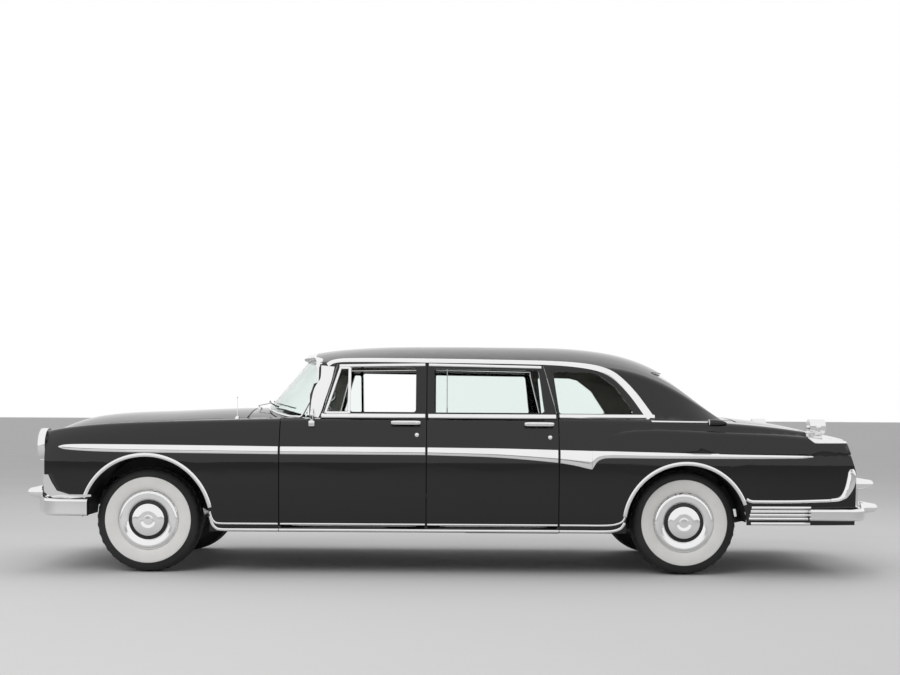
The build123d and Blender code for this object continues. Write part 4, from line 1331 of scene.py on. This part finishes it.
def engine_dress():
    # Round air cleaner, rocker covers, oil filler, fan and belt wheel
    drum = [(0, 0), (90, 0), (100, 8), (176, 12), (184, 20), (184, 74), (176, 82), (60, 92), (0, 94)]
    cleaner = turn_profile(drum, (-1940, 0, 996), "Z", 56)
    fit(cleaner, "air_cleaner", "body", black_steel)
    wing = turn_profile([(0, 88), (12, 88), (12, 104), (6, 108), (0, 108)], (-1940, 0, 996), "Z", 20)
    spout = [(0, 0), (20, 0), (20, 40), (28, 44), (28, 58), (0, 62)]
    filler = turn_profile(spout, (-2190, -190, 996), "Z", 24)
    plate(join_up([wing, filler]), "engine_caps")
    covers = [bar_between(-2270, -1620, side * 150, side * 284, 990, 1034) for side in (-1, 1)]
    fit(join_up(covers), "rocker_covers", "body", iron)
    hub = [
        (0, -100), (30, -100), (34, -60), (90, -56), (96, -40), (90, -30), (96, -20), (90, -4), (0, -4),
    ]
    blades = [turn_profile(hub, (-2300, 0, 800), "X")]
    for turn in range(0, 360, 90):
        blade = bar_between(-4, 4, -45, 45, 30, 200, 1)
        blade.data.transform(Matrix.Rotation(math.radians(28), 4, "Z"))
        blade.data.transform(Matrix.Rotation(math.radians(turn), 4, "X"))
        blade.data.transform(Matrix.Translation((-2.392, 0, 0.8)))
        blades.append(blade)
    fit(join_up(blades), "cooling_fan", "body", iron)


headlamps()
pane_frames()
header_visor()
wipers()
antenna()
intakes()
horn_ring()
gauges()
dash_trim()
pedals()
inner_mirror()
door_fittings()
scuff_plates()
shelf_corners()
arch_liners()
radiator()
engine_dress()


# Studio: floor, light and camera

SKY_LIGHT = 0.55
FLOOR_RADIUS = 400
PHOTO_WIDTH = 900
FOCAL_PIXELS = 1314


def studio():
    bpy.ops.object.select_all(action="DESELECT")
    bpy.ops.mesh.primitive_circle_add(vertices=96, radius=FLOOR_RADIUS, fill_type="NGON")
    floor = bpy.context.object
    floor.name = "studio_floor"
    pale = finish("pale_floor", (0.62, 0.62, 0.62), low=0.75, high=0.95, scale=0.6, fade=0.98)
    floor.data.materials.append(pale)
    world = bpy.data.worlds.new("studio_world")
    scene.world = world
    world.use_nodes = True
    tree = world.node_tree
    sky = tree.nodes["Background"]
    sky.inputs["Color"].default_value = (1, 1, 1, 1)
    path = tree.nodes.new("ShaderNodeLightPath")
    seen = tree.nodes.new("ShaderNodeMath")
    seen.operation = "MAXIMUM"
    shown = tree.nodes.new("ShaderNodeMath")
    shown.operation = "MAXIMUM"
    level = tree.nodes.new("ShaderNodeMapRange")
    level.inputs["To Min"].default_value = SKY_LIGHT
    level.inputs["To Max"].default_value = 1.0
    # The backdrop is white to the camera, in gloss and through glass, and dimmer as a light
    tree.links.new(path.outputs["Is Camera Ray"], seen.inputs[0])
    tree.links.new(path.outputs["Is Glossy Ray"], seen.inputs[1])
    tree.links.new(seen.outputs["Value"], shown.inputs[0])
    tree.links.new(path.outputs["Is Transmission Ray"], shown.inputs[1])
    tree.links.new(shown.outputs["Value"], level.inputs["Value"])
    tree.links.new(level.outputs["Result"], sky.inputs["Strength"])
    for name, place, size, power in (("key", (-4, -8, 8), 7, 420), ("top", (1, 2, 9), 9, 320)):
        light = bpy.data.lights.new(name, "AREA")
        light.size = size
        light.energy = power
        lamp = bpy.data.objects.new(name, light)
        lamp.location = place
        lamp.rotation_euler = (Vector((0, 0, 0.6)) - Vector(place)).to_track_quat("-Z", "Y").to_euler()
        lamp.visible_glossy = False
        scene.collection.objects.link(lamp)


def photo_camera():
    # Camera at the photograph's place, rolled as little as it was; the shift sets the horizon's height
    lens = bpy.data.cameras.new("photo_camera")
    lens.sensor_width = 36
    lens.lens = lens.sensor_width * FOCAL_PIXELS / PHOTO_WIDTH
    lens.shift_x = 10 / PHOTO_WIDTH
    lens.shift_y = 78.5 / PHOTO_WIDTH
    camera = bpy.data.objects.new("photo_camera", lens)
    camera.location = (-0.096, -10.185, 1.119)
    camera.rotation_euler = (math.radians(90), math.radians(-0.33), 0)
    scene.collection.objects.link(camera)
    scene.camera = camera


studio()
photo_camera()
scene.view_settings.view_transform = "Standard"
